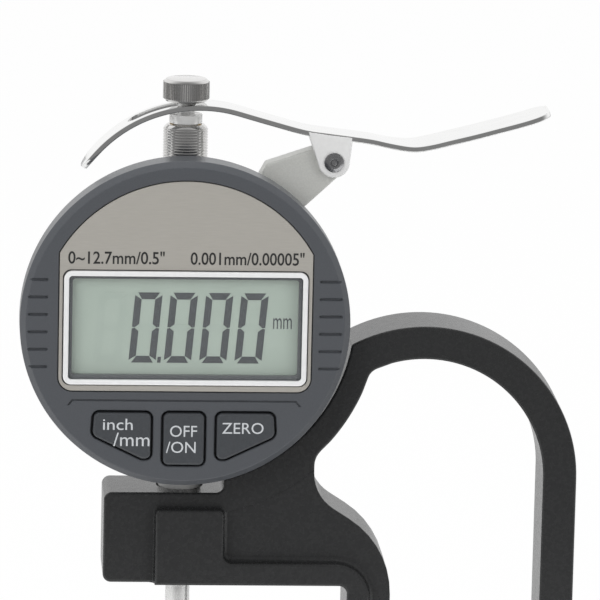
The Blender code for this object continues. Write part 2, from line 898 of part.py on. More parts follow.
def make_rear_housing():
    """The round body: an open ring with thick bosses for the stem and the collar, and four screw posts."""
    inner = body_radius - case_wall
    step = boss_angle()
    half = stem_boss_width / 2
    boss_face = inner - stem_boss_depth
    hollow = (
        arc(0, 0, inner, step - 90, 90 - step, 24)
        + [(half, boss_face), (-half, boss_face)]
        + arc(0, 0, inner, 90 + step, 270 - step, 24)
        + [(-half, -boss_face), (half, -boss_face)]
    )
    outer = circle(0, 0, body_radius, 60)
    ring = plate(
        "rear_housing", [moved_to_dial(outer), moved_to_dial(hollow)[::-1]], ring_front, ring_back
    )
    posts = [
        rod(
            f"housing_post_{k}",
            post_radius,
            (at_angle(post_circle, angle)[0], ring_front + SNUG, at_angle(post_circle, angle)[1]),
            (at_angle(post_circle, angle)[0], ring_back - SNUG, at_angle(post_circle, angle)[1]),
            16,
        )
        for k, angle in enumerate(post_angles, 1)
    ]
    join(ring, *posts)
    bores = [
        rod(
            "collar_bore",
            collar_radius - collar_chamfer + SEAT,
            (0, 0, dial_height),
            (0, 0, dial_height + case_radius * 1.2),
        ),
        rod(
            "stem_hole", stem_radius + SEAT, (0, 0, dial_height - case_radius * 1.2), (0, 0, dial_height)
        ),
    ]
    bores += [case_screw_bore(f"housing_bore_{k}", angle) for k, angle in enumerate(post_angles, 1)]
    for k, angle in enumerate(foot_screw_angles, 1):
        across, up = at_angle(case_radius / 2, angle)
        end_across, end_up = at_angle(case_radius * 1.2, angle)
        bores.append(
            rod(
                f"foot_screw_bore_{k}",
                foot_screw_radius + SEAT,
                (across, 0, up),
                (end_across, 0, end_up),
                12,
            )
        )
    return finish(cut(ring, *bores), (0.60, 0.61, 0.62), 0.35, 0.9)


def case_screw_bore(name, angle):
    across, up = at_angle(post_circle, angle)
    return rod(
        name,
        case_screw_radius + SEAT,
        (across, face_inside + SEAT, up),
        (across, cover_back + MM, up),
        12,
    )


def make_rear_cover():
    cover = plate(
        "rear_cover",
        [circle(0, dial_height, body_radius - cover_inset, 48)],
        cover_front,
        cover_back,
        cover_edge,
    )
    across, up = battery_place()
    opening = rod(
        "battery_opening",
        battery_radius + holder_wall + SEAT * 2,
        (across, ring_back, up),
        (across, cover_back + MM, up),
        40,
    )
    bores = [case_screw_bore(f"cover_bore_{k}", angle) for k, angle in enumerate(post_angles, 1)]
    sinks = []
    for k, angle in enumerate(post_angles, 1):
        x, z = at_angle(post_circle, angle)
        sink_front = cover_back - SNUG - case_screw_head_height - SEAT
        sinks.append(
            rod(f"cover_sink_{k}", case_screw_head + SEAT, (x, sink_front, z), (x, cover_back + MM, z), 16)
        )
    return finish(cut(cover, opening, *bores, *sinks), (0.58, 0.59, 0.60), 0.4, 0.9)


def battery_place():
    across = guide_block_width / 2 + 2 * SEAT + battery_room / 2
    return -across, dial_height - battery_drop


def make_front_shell():
    """The moulded front: chamfered rim, recess for the dial plate, apertures, posts and board bosses."""
    reach = -face_front
    wall = case_radius - case_wall
    lip = body_radius - case_wall
    profile = [
        (0, reach),
        (case_radius - rim_chamfer, reach),
        (case_radius, reach - rim_chamfer),
        (case_radius, -shell_back),
        (lip, -shell_back),
        (lip, -shell_back + shell_lip),
        (wall, -shell_back + shell_lip),
        (wall, -face_inside),
        (0, -face_inside),
    ]
    shell = turned("front_shell", profile, (0, 0, dial_height), steps=60, faces_front=True)
    supports = []
    for k, angle in enumerate(post_angles, 1):
        x, z = at_angle(post_circle, angle)
        supports.append(
            rod(f"shell_post_{k}", post_radius, (x, face_inside - SEAT, z), (x, shell_back - SNUG, z), 16)
        )
    for k, angle in enumerate(board_screw_angles, 1):
        x, z = at_angle(board_screw_circle, angle)
        supports.append(
            rod(
                f"board_boss_{k}",
                board_boss_radius,
                (x, face_inside - SEAT, z),
                (x, board_front - SEAT, z),
                12,
            )
        )
    join(shell, *supports)
    recess = plate(
        "plate_recess",
        [grown(plate_outline(), SNUG)],
        face_front - MM,
        face_front + plate_thickness + SEAT,
    )
    aperture = box(
        "lcd_aperture",
        (-window_half_width() + window_lip, window_half_width() - window_lip),
        (face_front - MM, face_inside + MM),
        (
            dial_height - trim_bottom + trim_width + window_lip,
            dial_height + trim_top - trim_width - window_lip,
        ),
    )
    key_holes = [
        plate(f"key_hole_{k}", [grown(outline, button_gap)], face_front - MM, face_inside + MM)
        for k, outline in enumerate(button_outlines().values(), 1)
    ]
    screws = [case_screw_bore(f"shell_bore_{k}", angle) for k, angle in enumerate(post_angles, 1)]
    for k, angle in enumerate(board_screw_angles, 1):
        x, z = at_angle(board_screw_circle, angle)
        screws.append(
            rod(
                f"board_screw_bore_{k}",
                board_screw_radius + SNUG,
                (x, face_inside + SEAT, z),
                (x, board_back, z),
                10,
            )
        )
    return finish(cut(shell, recess, aperture, *key_holes, *screws), (0.072, 0.080, 0.092), 0.45)


def plate_outline():
    """The dial plate: a round top, straight sides and rounded lower corners."""
    shoulder = math.degrees(math.acos(plate_half_width / plate_radius))
    outline = rounded(
        arc(0, 0, plate_radius, shoulder, 180 - shoulder, 28)
        + [(-plate_half_width, -plate_bottom, plate_corner), (plate_half_width, -plate_bottom, plate_corner)]
    )
    return moved_to_dial(outline)


def trim_outline(inset=0.0, corner=trim_corner):
    half = trim_half_width - inset
    low = inset - trim_bottom
    high = trim_top - inset
    corners = [(-half, low, corner), (half, low, corner), (half, high, corner), (-half, high, corner)]
    return moved_to_dial(rounded(corners))


def window_half_width():
    return trim_half_width - trim_width


def make_face_plate():
    outlines = [plate_outline(), grown(trim_outline(), SNUG)[::-1]]
    front = face_front + SEAT / 3
    plate_piece = plate("face_plate", outlines, front, front + plate_thickness)
    return finish(plate_piece, (0.42, 0.39, 0.35), 0.38, 0.7)


def make_display_frame():
    outlines = [trim_outline(), trim_outline(trim_width, glass_corner)[::-1]]
    back = face_front + plate_thickness
    trim = plate("display_frame", outlines, back - trim_height, back)
    return finish(trim, (0.85, 0.86, 0.86), 0.12, 1.0)


def make_display_window():
    back = face_front + plate_thickness
    window = plate(
        "display_window",
        [trim_outline(trim_width + SNUG, glass_corner)],
        back - window_thickness + SNUG,
        back,
    )
    return finish(window, (0.45, 0.50, 0.44), 0.08)


def make_lcd_module():
    half = window_half_width()
    module = box(
        "lcd_module",
        (-half, half),
        (lcd_front, lcd_back),
        (dial_height - trim_bottom + trim_width, dial_height + trim_top - trim_width),
    )
    return finish(module, (0.40, 0.45, 0.38), 0.3)


# Buttons


def button_outlines():
    """Outlines of the three keys, anticlockwise."""
    top = -button_top
    low = side_button_margin - case_radius
    tip = top - side_button_tip_drop
    middle_low = middle_button_margin - case_radius
    right = [
        (side_button_inner, low, button_corner),
        (side_button_inner + side_button_foot, low, button_corner),
        (side_button_outer, tip, side_button_tip_round),
        (side_button_outer - side_button_lean, top, button_corner),
        (side_button_inner, top, button_corner),
    ]
    left = [(-x, z, radius) for x, z, radius in right[::-1]]
    half = middle_button_half_width
    middle = [
        (-half, middle_low, button_corner),
        (half, middle_low, button_corner),
        (half, top, button_corner),
        (-half, top, button_corner),
    ]
    shapes = {"unit_button": left, "power_button": middle, "zero_button": right}
    return {name: moved_to_dial(rounded(corners)) for name, corners in shapes.items()}


def make_button(name, outline):
    """A key cap with the flange that holds it in; its origin is at the middle of its front."""
    front = face_front - button_rise
    key = plate(name, [outline], front, flange_back - SNUG, button_edge)
    flange = plate(name + "_flange", [grown(outline, button_flange)], flange_front, flange_back)
    join(key, flange)
    middle = sum((Vector(point) for point in outline), Vector((0, 0))) / len(outline)
    set_origin(key, Vector((middle.x, front, middle.y)))
    return finish(key, (0.105, 0.112, 0.125), 0.5)


def set_origin(piece, point):
    """Moves a piece's origin to a world point and leaves its mesh where it is."""
    bpy.context.view_layer.update()
    shift = piece.matrix_world.inverted() @ point
    piece.data.transform(Matrix.Translation(-shift))
    piece.location = point


def make_keypad_mat():
    """The rubber mat under the keys, seated on the circuit board."""
    back = board_front - SEAT
    top = -button_top + button_flange
    radius = case_radius - case_wall - SEAT
    half = mat_half_width
    start = -math.degrees(math.acos(half / radius))
    outline = arc(0, 0, radius, -180 - start, start, 20)
    outline += [(half, top), (-half, top)]
    mat = plate("keypad_mat", [moved_to_dial(outline)], mat_front, back)
    return finish(mat, (0.06, 0.06, 0.065), 0.8)


# Electronics and battery


def make_circuit_board():
    board = plate("circuit_board", [circle(0, dial_height, board_radius, 48)], board_front, board_back)
    holes = []
    for k, angle in enumerate(board_screw_angles, 1):
        x, z = at_angle(board_screw_circle, angle)
        holes.append(
            rod(
                f"board_hole_{k}",
                board_screw_radius + SNUG,
                (x, board_front - MM, z),
                (x, board_back + MM, z),
                10,
            )
        )
    return finish(cut(board, *holes), (0.03, 0.16, 0.07), 0.45)


def make_board_screw(k, angle):
    x, z = at_angle(board_screw_circle, angle)
    seat = board_back + SNUG
    length = seat - face_inside - 2 * SEAT
    screw = turned(
        f"board_screw_{k}",
        screw_profile(board_screw_radius, board_screw_head, board_screw_head_height, length),
        (x, seat, z),
        steps=12,
        faces_front=True,
    )
    return finish(screw, (0.55, 0.55, 0.55), 0.3, 1.0)


def screw_profile(shank, head, head_height, length):
    """A pan head on a plain shank: the head's seat is at height 0 and the shank points up."""
    return [
        (0, length),
        (shank, length),
        (shank, 0),
        (head, 0),
        (head, -head_height * 0.6),
        (head * 0.75, -head_height),
        (0, -head_height),
    ]


def make_sensor_board():
    middle = sum(guide_block_span()) / 2
    half = sensor_width / 2
    sensor = box("sensor_board", (-half, half), (sensor_front, sensor_back), (middle - half, middle + half))
    return finish(sensor, (0.03, 0.12, 0.20), 0.4)


def make_battery():
    x, z = battery_place()
    back = cover_front - SEAT
    cell = rod("battery", battery_radius, (x, back - battery_thickness, z), (x, back, z), 32)
    return finish(cell, (0.70, 0.70, 0.69), 0.25, 1.0)


def holder_floor():
    return cover_front - SEAT - battery_thickness - contact_thickness - 2 * SEAT


def make_battery_holder():
    """The cup round the coin cell, open at the back."""
    x, z = battery_place()
    floor_back = holder_floor()
    cup = rod(
        "battery_holder",
        battery_radius + SNUG + holder_wall,
        (x, floor_back - holder_wall, z),
        (x, cover_front - SEAT, z),
        32,
    )
    pocket = rod("cell_pocket", battery_radius + SNUG, (x, floor_back, z), (x, cover_back, z), 32)
    slot_half = contact_width / 2 + SNUG
    slot = box(
        "contact_slot",
        (x - slot_half, x + slot_half),
        (board_back, floor_back + SNUG),
        (z - contact_slot_half, z + contact_slot_half),
    )
    return finish(cut(cup, pocket, slot), (0.05, 0.05, 0.055), 0.5)


def make_battery_contact():
    """The bent spring strip from the circuit board to the cell."""
    x, z = battery_place()
    half = contact_width / 2
    pad_front = holder_floor() + SNUG
    pad_back = pad_front + contact_thickness
    low = z - contact_thickness
    strip = box("battery_contact", (x - half, x + half), (pad_front, pad_back), (low, z + contact_length))
    leg = box(
        "contact_leg",
        (x - half + SNUG, x + half - SNUG),
        (board_back + SEAT, pad_front + contact_thickness / 2),
        (z - contact_thickness / 2, z + contact_thickness / 2),
    )
    return finish(join(strip, leg), (0.72, 0.62, 0.35), 0.3, 1.0)


def make_battery_cover():
    """The round cover with a coin slot, flush in the back of the case."""
    x, z = battery_place()
    radius = battery_radius + holder_wall + SEAT
    cover = plate("battery_cover", [circle(x, z, radius, 40)], cover_front, cover_back - SNUG, SNUG)
    slot = box(
        "coin_slot",
        (x - coin_slot_length / 2, x + coin_slot_length / 2),
        (cover_back - coin_slot_depth, cover_back + MM),
        (z - coin_slot_width / 2, z + coin_slot_width / 2),
    )
    return finish(cut(cover, slot), (0.05, 0.055, 0.06), 0.45)


def make_case_screw(k, angle):
    x, z = at_angle(post_circle, angle)
    seat = cover_back - SNUG - case_screw_head_height
    length = seat - face_inside - 2 * SEAT
    screw = turned(
        f"case_screw_{k}",
        screw_profile(case_screw_radius, case_screw_head, case_screw_head_height, length),
        (x, seat, z),
        steps=12,
        faces_front=True,
    )
    return finish(screw, (0.50, 0.50, 0.50), 0.3, 1.0)


# Lifting lever


def strip_line():
    """The whole middle line: the bow over the cap, then the smooth run to the pad."""
    crown = (strip_crown_across, dial_height + strip_crown_rise - strip_radius)
    bow = arc(*crown, strip_radius, strip_tip_angle, strip_lead_angle, 22)
    lead = Vector(bow[-1])
    run = [tuple(lead + Vector(knot) * strip_run) for knot in strip_knots]
    return bow[:-1] + smooth_path(run, 2)


def band(line, thickness):
    """A closed outline around a line, half the thickness each side."""
    sides = ([], [])
    for i, point in enumerate(line):
        ahead = Vector(line[min(i + 1, len(line) - 1)]) - Vector(line[max(i - 1, 0)])
        side = Vector((ahead.y, -ahead.x)).normalized() * thickness / 2
        sides[0].append(tuple(Vector(point) + side))
        sides[1].append(tuple(Vector(point) - side))
    return sides[0] + sides[1][::-1]


def strip_plan():
    """The strip seen from above: a round finger end, straight sides and the wider pad."""
    half = strip_width / 2
    pad_half = pad_width / 2
    line = strip_line()
    left = line[0][0] - MM
    right = line[-1][0]
    widen = pivot_across + pad_start
    wide = widen + pad_spread
    return rounded(
        [
            (left, -half, strip_end_round),
            (widen, -half, pad_blend),
            (wide, -pad_half, pad_blend),
            (right, -pad_half, pad_tip_radius),
            (right, pad_half, pad_tip_radius),
            (wide, pad_half, pad_blend),
            (widen, half, pad_blend),
            (left, half, strip_end_round),
        ]
    )


def lift_swing():
    """The turn about the pivot, in radians, that lifts the strip's bow by the spindle's travel."""
    across = pivot_across - strip_crown_across
    drop = pivot_rise - strip_crown_rise + strip_radius
    return math.atan2(drop, across) + math.asin((spindle_travel - drop) / math.hypot(across, drop))


def slot_ends():
    """Where the slot starts and ends, from how far the strip slides past the neck as it swings."""
    swing = lift_swing()
    crown = Vector((strip_crown_across - pivot_across, strip_crown_rise - strip_radius - pivot_rise))
    swung = Matrix.Rotation(-swing, 2) @ crown
    lean = math.acos(-(swung.x + pivot_across) / strip_radius) + swing
    reach = neck_radius + 2 * SNUG
    return strip_crown_across + strip_radius * math.cos(lean) - reach, reach


def ear_outline():
    """A side ear: straight from the strip, round about the pivot."""
    pivot_up = dial_height + pivot_rise
    line = strip_line()
    left = pivot_across - ear_left
    right = pivot_across + ear_right

    def strip_height(across):
        near = min(line, key=lambda point: abs(point[0] - across))
        return near[1]

    return arc(pivot_across, pivot_up, ear_radius, 205, 345, 10) + [
        (right, strip_height(right)),
        (left, strip_height(left)),
    ]


def make_lift_lever():
    """A bent strip with a slot round the neck, two ears for the pivot and a wide finger pad."""
    line = strip_line()
    lever = plate("lift_lever", [band(line, strip_thickness)], -pad_width, pad_width)
    low = dial_height
    high = dial_height + 2 * case_radius
    plan = plate("lever_plan", [strip_plan()], low, high, from_above=True)
    combine(lever, [plan], "INTERSECT")
    start, end = slot_ends()
    reach = neck_radius + 2 * SNUG
    slot_corners = [
        (start, -reach, reach * 0.98),
        (end, -reach, reach * 0.98),
        (end, reach, reach * 0.98),
        (start, reach, reach * 0.98),
    ]
    slot = plate("lever_slot", [rounded(slot_corners)], low, high, from_above=True)
    cut(lever, slot)
    inner = bracket_thickness / 2 + SEAT
    outer = inner + ear_thickness
    ears = [
        plate("front_ear", [ear_outline()], -outer, -inner),
        plate("back_ear", [ear_outline()], inner, outer),
    ]
    join(lever, *ears)
    pivot_up = dial_height + pivot_rise
    hole = rod(
        "ear_hole",
        pin_radius + SNUG,
        (pivot_across, -pad_width, pivot_up),
        (pivot_across, pad_width, pivot_up),
        20,
    )
    return finish(cut(lever, hole), (0.72, 0.72, 0.71), 0.16, 1.0)


def make_lever_bracket():
    """The lug screwed to the case's shoulder that carries the lever's pivot."""
    foot = body_radius + SEAT
    first, last = bracket_foot_angles
    pivot_up = dial_height + pivot_rise
    foot_arc = [at_angle(foot, first + (last - first) * k / 6) for k in range(7)]
    corner = at_angle(foot + bracket_step, first)
    top_corner = (pivot_across - bracket_corner_left, pivot_up + bracket_corner_rise)
    outline = rounded(
        foot_arc[::-1]
        + [(*corner, bracket_toe_round), (*top_corner, bracket_corner_round)]
        + arc(pivot_across, pivot_up, bracket_end_radius, 95, -45, 10)
    )
    half = bracket_thickness / 2
    bracket = plate("lever_bracket", [outline[::-1]], -half, half, bracket_edge)
    hole = rod(
        "bracket_hole",
        pin_radius + SNUG,
        (pivot_across, -pad_width, pivot_up),
        (pivot_across, pad_width, pivot_up),
        20,
    )
    threads = []
    for k, angle in enumerate(foot_screw_angles, 1):
        x, z = at_angle(body_radius, angle)
        end_x, end_z = at_angle(body_radius + foot_screw_length, angle)
        threads.append(
            rod(f"foot_thread_{k}", foot_screw_radius + SNUG, (x, 0, z), (end_x, 0, end_z), 12)
        )
    return finish(cut(bracket, hole, *threads), (0.52, 0.53, 0.50), 0.4, 0.6)


def make_foot_screw(k, angle):
    """A screw from inside the case into the bracket's foot."""
    turn = math.radians(angle)
    seat = at_angle(body_radius - case_wall - SEAT, angle)
    length = case_wall + foot_screw_length - SEAT
    screw = turned(
        f"foot_screw_{k}",
        screw_profile(foot_screw_radius, foot_screw_head, foot_screw_head_height, length),
        (seat[0], 0, seat[1]),
        steps=12,
    )
    screw.rotation_euler = (0, math.pi / 2 - turn, 0)
    return finish(screw, (0.5, 0.5, 0.5), 0.3, 1.0)


def make_lever_pin():
    """The rivet through both ears, its origin on the pivot."""
    reach = bracket_thickness / 2 + SEAT + ear_thickness + SEAT
    profile = [
        (0, reach + pin_head_height),
        (pin_head_radius * 0.6, reach + pin_head_height),
        (pin_head_radius, reach + pin_head_height * 0.4),
        (pin_head_radius, reach),
        (pin_radius, reach),
        (pin_radius, -reach),
        (pin_head_radius, -reach),
        (pin_head_radius, -reach - pin_head_height * 0.4),
        (pin_head_radius * 0.6, -reach - pin_head_height),
        (0, -reach - pin_head_height),
    ]
    place = (pivot_across, 0, dial_height + pivot_rise)
    pin = turned("lever_pin", profile, place, steps=24, faces_front=True)
    return finish(pin, (0.66, 0.66, 0.66), 0.22, 1.0)


def hold(name, place, pieces):
    """An empty on a joint's axis, with the pieces that move about it."""
    axis = bpy.data.objects.new(name, None)
    axis.location = place
    GAUGE.objects.link(axis)
    bpy.context.view_layer.update()
    for piece in pieces:
        piece.parent = axis
        piece.matrix_parent_inverse = axis.matrix_world.inverted()


def build():
    make_frame()
    set_screw("stem_clamp_screw", throat_top + block_height / 2, stem_radius)
    set_screw("anvil_set_screw", arm_height / 2, anvil_shank_radius)
    make_stem()
    bush("lower_bush", throat_top + 2 * SEAT)
    bush("upper_bush", collar_bottom + collar_height - SEAT - bush_length)
    make_collar()
    make_lower_anvil()
    make_rear_housing()
    make_rear_cover()
    make_front_shell()
    make_face_plate()
    make_display_frame()
    make_display_window()
    make_lcd_module()
    make_keypad_mat()
    make_circuit_board()
    make_sensor_board()
    make_battery()
    make_battery_holder()
    make_battery_contact()
    make_battery_cover()
    make_guide_rail()
    make_lever_bracket()
    for k, angle in enumerate(board_screw_angles, 1):
        make_board_screw(k, angle)
    for k, angle in enumerate(post_angles, 1):
        make_case_screw(k, angle)
    for k, angle in enumerate(foot_screw_angles, 1):
        make_foot_screw(k, angle)
    for name, outline in button_outlines().items():
        make_button(name, outline)
    moving = [make_spindle(), make_cap(), make_upper_anvil(), make_guide_block(), make_guide_pin()]
    moving += [make_scale(), make_spring()]
    hold("spindle_axis", (0, 0, upper_anvil_face), moving)
    hold("lever_axis", (pivot_across, 0, dial_height + pivot_rise), [make_lift_lever(), make_lever_pin()])


build()
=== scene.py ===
# %% [markdown]
# # A digital thickness gauge
#
# A round digital indicator hangs in a cast C-frame with a D-shaped handle. A bent strip over the indicator lifts
# the spindle, so that a sheet can be put between the anvils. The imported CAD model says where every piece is. This
# lesson gives each visible piece its real edges, its finish and its lettering, and leaves the CAD model where it is.

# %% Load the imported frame
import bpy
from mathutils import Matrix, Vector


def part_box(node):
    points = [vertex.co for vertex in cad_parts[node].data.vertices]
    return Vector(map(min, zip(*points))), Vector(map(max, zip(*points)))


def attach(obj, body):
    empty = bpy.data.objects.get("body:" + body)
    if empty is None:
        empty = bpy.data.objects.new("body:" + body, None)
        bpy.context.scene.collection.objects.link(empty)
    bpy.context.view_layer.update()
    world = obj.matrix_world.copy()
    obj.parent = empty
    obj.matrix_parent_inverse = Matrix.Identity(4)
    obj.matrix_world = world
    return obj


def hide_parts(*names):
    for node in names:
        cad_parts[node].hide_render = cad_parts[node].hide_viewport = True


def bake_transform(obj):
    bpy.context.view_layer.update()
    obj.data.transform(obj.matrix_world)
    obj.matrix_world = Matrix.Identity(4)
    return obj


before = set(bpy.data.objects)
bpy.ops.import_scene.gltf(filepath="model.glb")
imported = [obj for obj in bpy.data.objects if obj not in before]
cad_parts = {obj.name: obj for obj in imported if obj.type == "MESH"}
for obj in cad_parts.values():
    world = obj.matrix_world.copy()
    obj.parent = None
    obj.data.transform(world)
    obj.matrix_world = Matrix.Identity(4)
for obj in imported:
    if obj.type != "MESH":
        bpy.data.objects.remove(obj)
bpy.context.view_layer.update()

# %% Sizes that the whole gauge shares
import math

import bmesh
import bpy
from mathutils import Matrix, Vector

MM = 0.001
shell_low, shell_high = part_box("front_shell")
casting_low, casting_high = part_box("frame_casting")
ring_low, ring_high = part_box("rear_housing")
CASE = (shell_high.x - shell_low.x) / 2  # radius of the round case
DIAL = (shell_high.z + shell_low.z) / 2  # height of the middle of the dial
FACE = shell_low.y  # front of the case
BODY = (ring_high.x - ring_low.x) / 2  # radius of the metal body behind it
print(f"case radius {CASE / MM:.1f} mm, body radius {BODY / MM:.1f} mm, dial height {DIAL / MM:.1f} mm")

# %% [markdown]
# ## Drawing helpers
#
# Nearly every piece of the gauge is one of three things: a flat outline with a thickness, a turned profile, or a
# row of outlines joined into a skin. A modeller could push points about by hand. Here each shape is written as the
# drawing that a workshop would use, so that a radius or a wall can be changed in one place.


# %% Outlines
def on_circle(across, up, radius, degrees):
    turn = math.radians(degrees)
    return (across + radius * math.cos(turn), up + radius * math.sin(turn))


def arc(across, up, radius, start, end, steps):
    """Points on a circle, from one angle to another in degrees."""
    return [on_circle(across, up, radius, start + (end - start) * k / steps) for k in range(steps + 1)]


def circle(across, up, radius, steps=96):
    return arc(across, up, radius, 0, 360 * (steps - 1) / steps, steps - 1)


def rounded(corners, facet=8):
    """A closed outline from corners, each (x, z) or (x, z, radius); facet is the turn of one step in degrees."""
    points = []
    for i, (x, z, *fillet) in enumerate(corners):
        here = Vector((x, z))
        if not fillet:
            points.append((x, z))
            continue
        back = (Vector(corners[i - 1][:2]) - here).normalized()
        ahead = (Vector(corners[(i + 1) % len(corners)][:2]) - here).normalized()
        half = back.angle(ahead) / 2
        centre = here + (back + ahead).normalized() * fillet[0] / math.sin(half)
        first = here + back * fillet[0] / math.tan(half) - centre
        last = here + ahead * fillet[0] / math.tan(half) - centre
        start = math.atan2(first.y, first.x)
        sweep = (math.atan2(last.y, last.x) - start + math.pi) % math.tau - math.pi
        steps = max(3, round(abs(math.degrees(sweep)) / facet))
        turns = [start + sweep * k / steps for k in range(steps + 1)]
        points += [(centre.x + fillet[0] * math.cos(t), centre.y + fillet[0] * math.sin(t)) for t in turns]
    return points


def box_outline(left, right, low, high, fillet, facet=8):
    """A rectangle with the same fillet on its four corners."""
    return rounded([(left, low, fillet), (right, low, fillet), (right, high, fillet), (left, high, fillet)], facet)


def grown(points, distance):
    """The outline moved outwards; its points run anticlockwise."""
    moved = []
    for i, point in enumerate(points):
        here = Vector(point)
        back = (here - Vector(points[i - 1])).normalized()
        ahead = (Vector(points[(i + 1) % len(points)]) - here).normalized()
        side = (Vector((back.y, -back.x)) + Vector((ahead.y, -ahead.x))).normalized()
        reach = distance / max(0.5, side.dot(Vector((ahead.y, -ahead.x))))
        moved.append((here.x + side.x * reach, here.y + side.y * reach))
    return moved


def at_dial(points):
    return [(x, z + DIAL) for x, z in points]


def mm(*points):
    """Points given in millimetres."""
    return [tuple(value * MM for value in point) for point in points]


def at_heights(*points):
    """A profile from (radius in mm, height), or (radius in mm, height, mm above that height)."""
    return [(radius * MM, height + sum(above) * MM) for radius, height, *above in points]


# %% Solids from outlines
def placed(name, data):
    """A new object for a mesh, a curve, a lamp or a camera, in the scene."""
    thing = bpy.data.objects.new(name, data)
    bpy.context.scene.collection.objects.link(thing)
    return thing


def settled(thing):
    """Turns an object with modifiers, a curve or a text into a plain mesh at the origin, in its place."""
    bpy.context.view_layer.update()
    mesh = bpy.data.meshes.new_from_object(thing.evaluated_get(bpy.context.evaluated_depsgraph_get()))
    mesh.transform(thing.matrix_world)
    name = thing.name
    bpy.data.objects.remove(thing)
    return placed(name, mesh)


def welded(piece):
    """Merges doubled points and turns every face outwards."""
    bm = bmesh.new()
    bm.from_mesh(piece.data)
    bmesh.ops.remove_doubles(bm, verts=bm.verts, dist=0.001 * MM)
    bmesh.ops.recalc_face_normals(bm, faces=bm.faces)
    bm.to_mesh(piece.data)
    bm.free()
    return piece


def from_faces(name, bm):
    """A welded piece from the faces that were drawn."""
    mesh = bpy.data.meshes.new(name)
    bm.to_mesh(mesh)
    bm.free()
    return welded(placed(name, mesh))


def solid(name, outlines, front, back, edge=0.0, rings=3, from_above=False):
    """A flat piece with rounded edges: outlines in XZ between two depths, or in XY between two heights."""
    curve = bpy.data.curves.new(name, "CURVE")
    curve.dimensions = "2D"
    curve.fill_mode = "BOTH"
    curve.extrude = (back - front) / 2 - edge
    curve.bevel_depth = edge
    curve.bevel_resolution = rings
    curve.offset = -edge
    for points in outlines:
        spline = curve.splines.new("POLY")
        spline.points.add(len(points) - 1)
        spline.use_cyclic_u = True
        for point, (x, z) in zip(spline.points, points):
            point.co = (x, z, 0, 1)
    drawn = placed(name, curve)
    middle = (front + back) / 2
    drawn.location = (0, 0, middle) if from_above else (0, middle, 0)
    drawn.rotation_euler.x = 0 if from_above else math.pi / 2
    return welded(settled(drawn))


def skin(name, loops):
    """Joins loops of equal length, each a list of points in space, and closes both ends."""
    bm = bmesh.new()
    rows = [[bm.verts.new(point) for point in loop] for loop in loops]
    for lower, upper in zip(rows, rows[1:]):
        for k in range(len(lower)):
            bm.faces.new((lower[k - 1], lower[k], upper[k], upper[k - 1]))
    bm.faces.new(rows[0])
    bm.faces.new(rows[-1])
    return from_faces(name, bm)


def stepped(name, outline, steps):
    """An outline in XZ swept to the back through (growth, depth) steps."""
    return skin(name, [[(x, y, z) for x, z in grown(outline, growth)] for growth, y in steps])


def quarter_round(edge, face):
    """Steps that round a front edge through a quarter turn."""
    turns = [math.radians(18 * k) for k in range(1, 6)]
    return [(-edge, face)] + [(edge * (math.sin(t) - 1), face + edge * (1 - math.cos(t))) for t in turns]


def turned(name, profile, middle=(0, 0, 0), along="Z", steps=96, closed=False):
    """A turned piece: (radius, distance along the axis) points, from one end to the other."""
    bm = bmesh.new()
    rows = []
    for radius, reach in profile:
        row = []
        for k in range(1 if radius == 0 else steps):
            a, b = (radius * ratio for ratio in (math.cos(math.tau * k / steps), math.sin(math.tau * k / steps)))
            row.append(bm.verts.new(Vector(middle) + Vector((a, b, reach) if along == "Z" else (a, reach, b))))
        rows.append(row)
    for lower, upper in zip(rows, rows[1:] + rows[:1] if closed else rows[1:]):
        for k in range(steps):
            corners = [row[j % len(row)] for row, j in ((lower, k - 1), (lower, k), (upper, k), (upper, k - 1))]
            corners = list(dict.fromkeys(corners))
            if len(corners) > 2:
                bm.faces.new(corners)
    return from_faces(name, bm)


def rod(name, radius, start, end, middle=(0, 0, 0), along="Y", steps=32):
    """A plain cylinder, closed at both ends."""
    return turned(name, [(0, start), (radius, start), (radius, end), (0, end)], middle, along, steps)


def combined(piece, other, operation="DIFFERENCE"):
    """Cuts, joins or meets two closed solids and keeps only the result."""
    modifier = piece.modifiers.new(operation, "BOOLEAN")
    modifier.operation = operation
    modifier.object = other
    result = settled(piece)
    bpy.data.objects.remove(other)
    return welded(result)


def drilled(piece, radius, start, end, middle=(0, 0, 0), along="Y", steps=32):
    """A piece with a round hole along an axis."""
    return combined(piece, rod("bore", radius, start, end, middle, along, steps))


def softened(profile, radius, steps=4):
    """A turned profile whose inner corners, all but its ends, are rounded."""
    points = [profile[0]]
    for before, here, after in zip(profile, profile[1:], profile[2:]):
        here, before, after = Vector(here), Vector(before), Vector(after)
        reach = min(radius, (before - here).length / 2.1, (after - here).length / 2.1)
        first = here + (before - here).normalized() * reach
        last = here + (after - here).normalized() * reach
        for t in (k / steps for k in range(steps + 1)):
            points.append(tuple(first.lerp(here, t).lerp(here.lerp(last, t), t)))
    return points + [profile[-1]]


# %% Finishing a piece
def shown(piece, finish, nodes=(), body="frame", angle=34):
    """Smooths a piece, gives it its finish, hides the CAD pieces that it stands for, and sets the body that it moves
    with.
    """
    piece.data.materials.clear()
    piece.data.materials.append(finish)
    piece.data.shade_smooth()
    piece.data.set_sharp_from_angle(angle=math.radians(angle))
    even = piece.modifiers.new("even", "WEIGHTED_NORMAL")
    even.keep_sharp = True
    piece = settled(piece)
    if body:
        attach(piece, body)
    if nodes:
        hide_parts(*nodes)
    print(f"{piece.name}: {len(piece.data.polygons)} faces on {body}")
    return piece


# %% [markdown]
# ## Finishes
#
# A real surface is never one colour. Paint has a faint orange peel, plastic is lightly sparked, metal keeps the
# lines of the tool that cut it. One picture for each could be wrapped round the pieces, but a picture needs seams.
# Noise that reads the object's own coordinates runs through the whole piece like the grain of wood, so nothing has
# to be unwrapped and nothing slides when the piece moves.


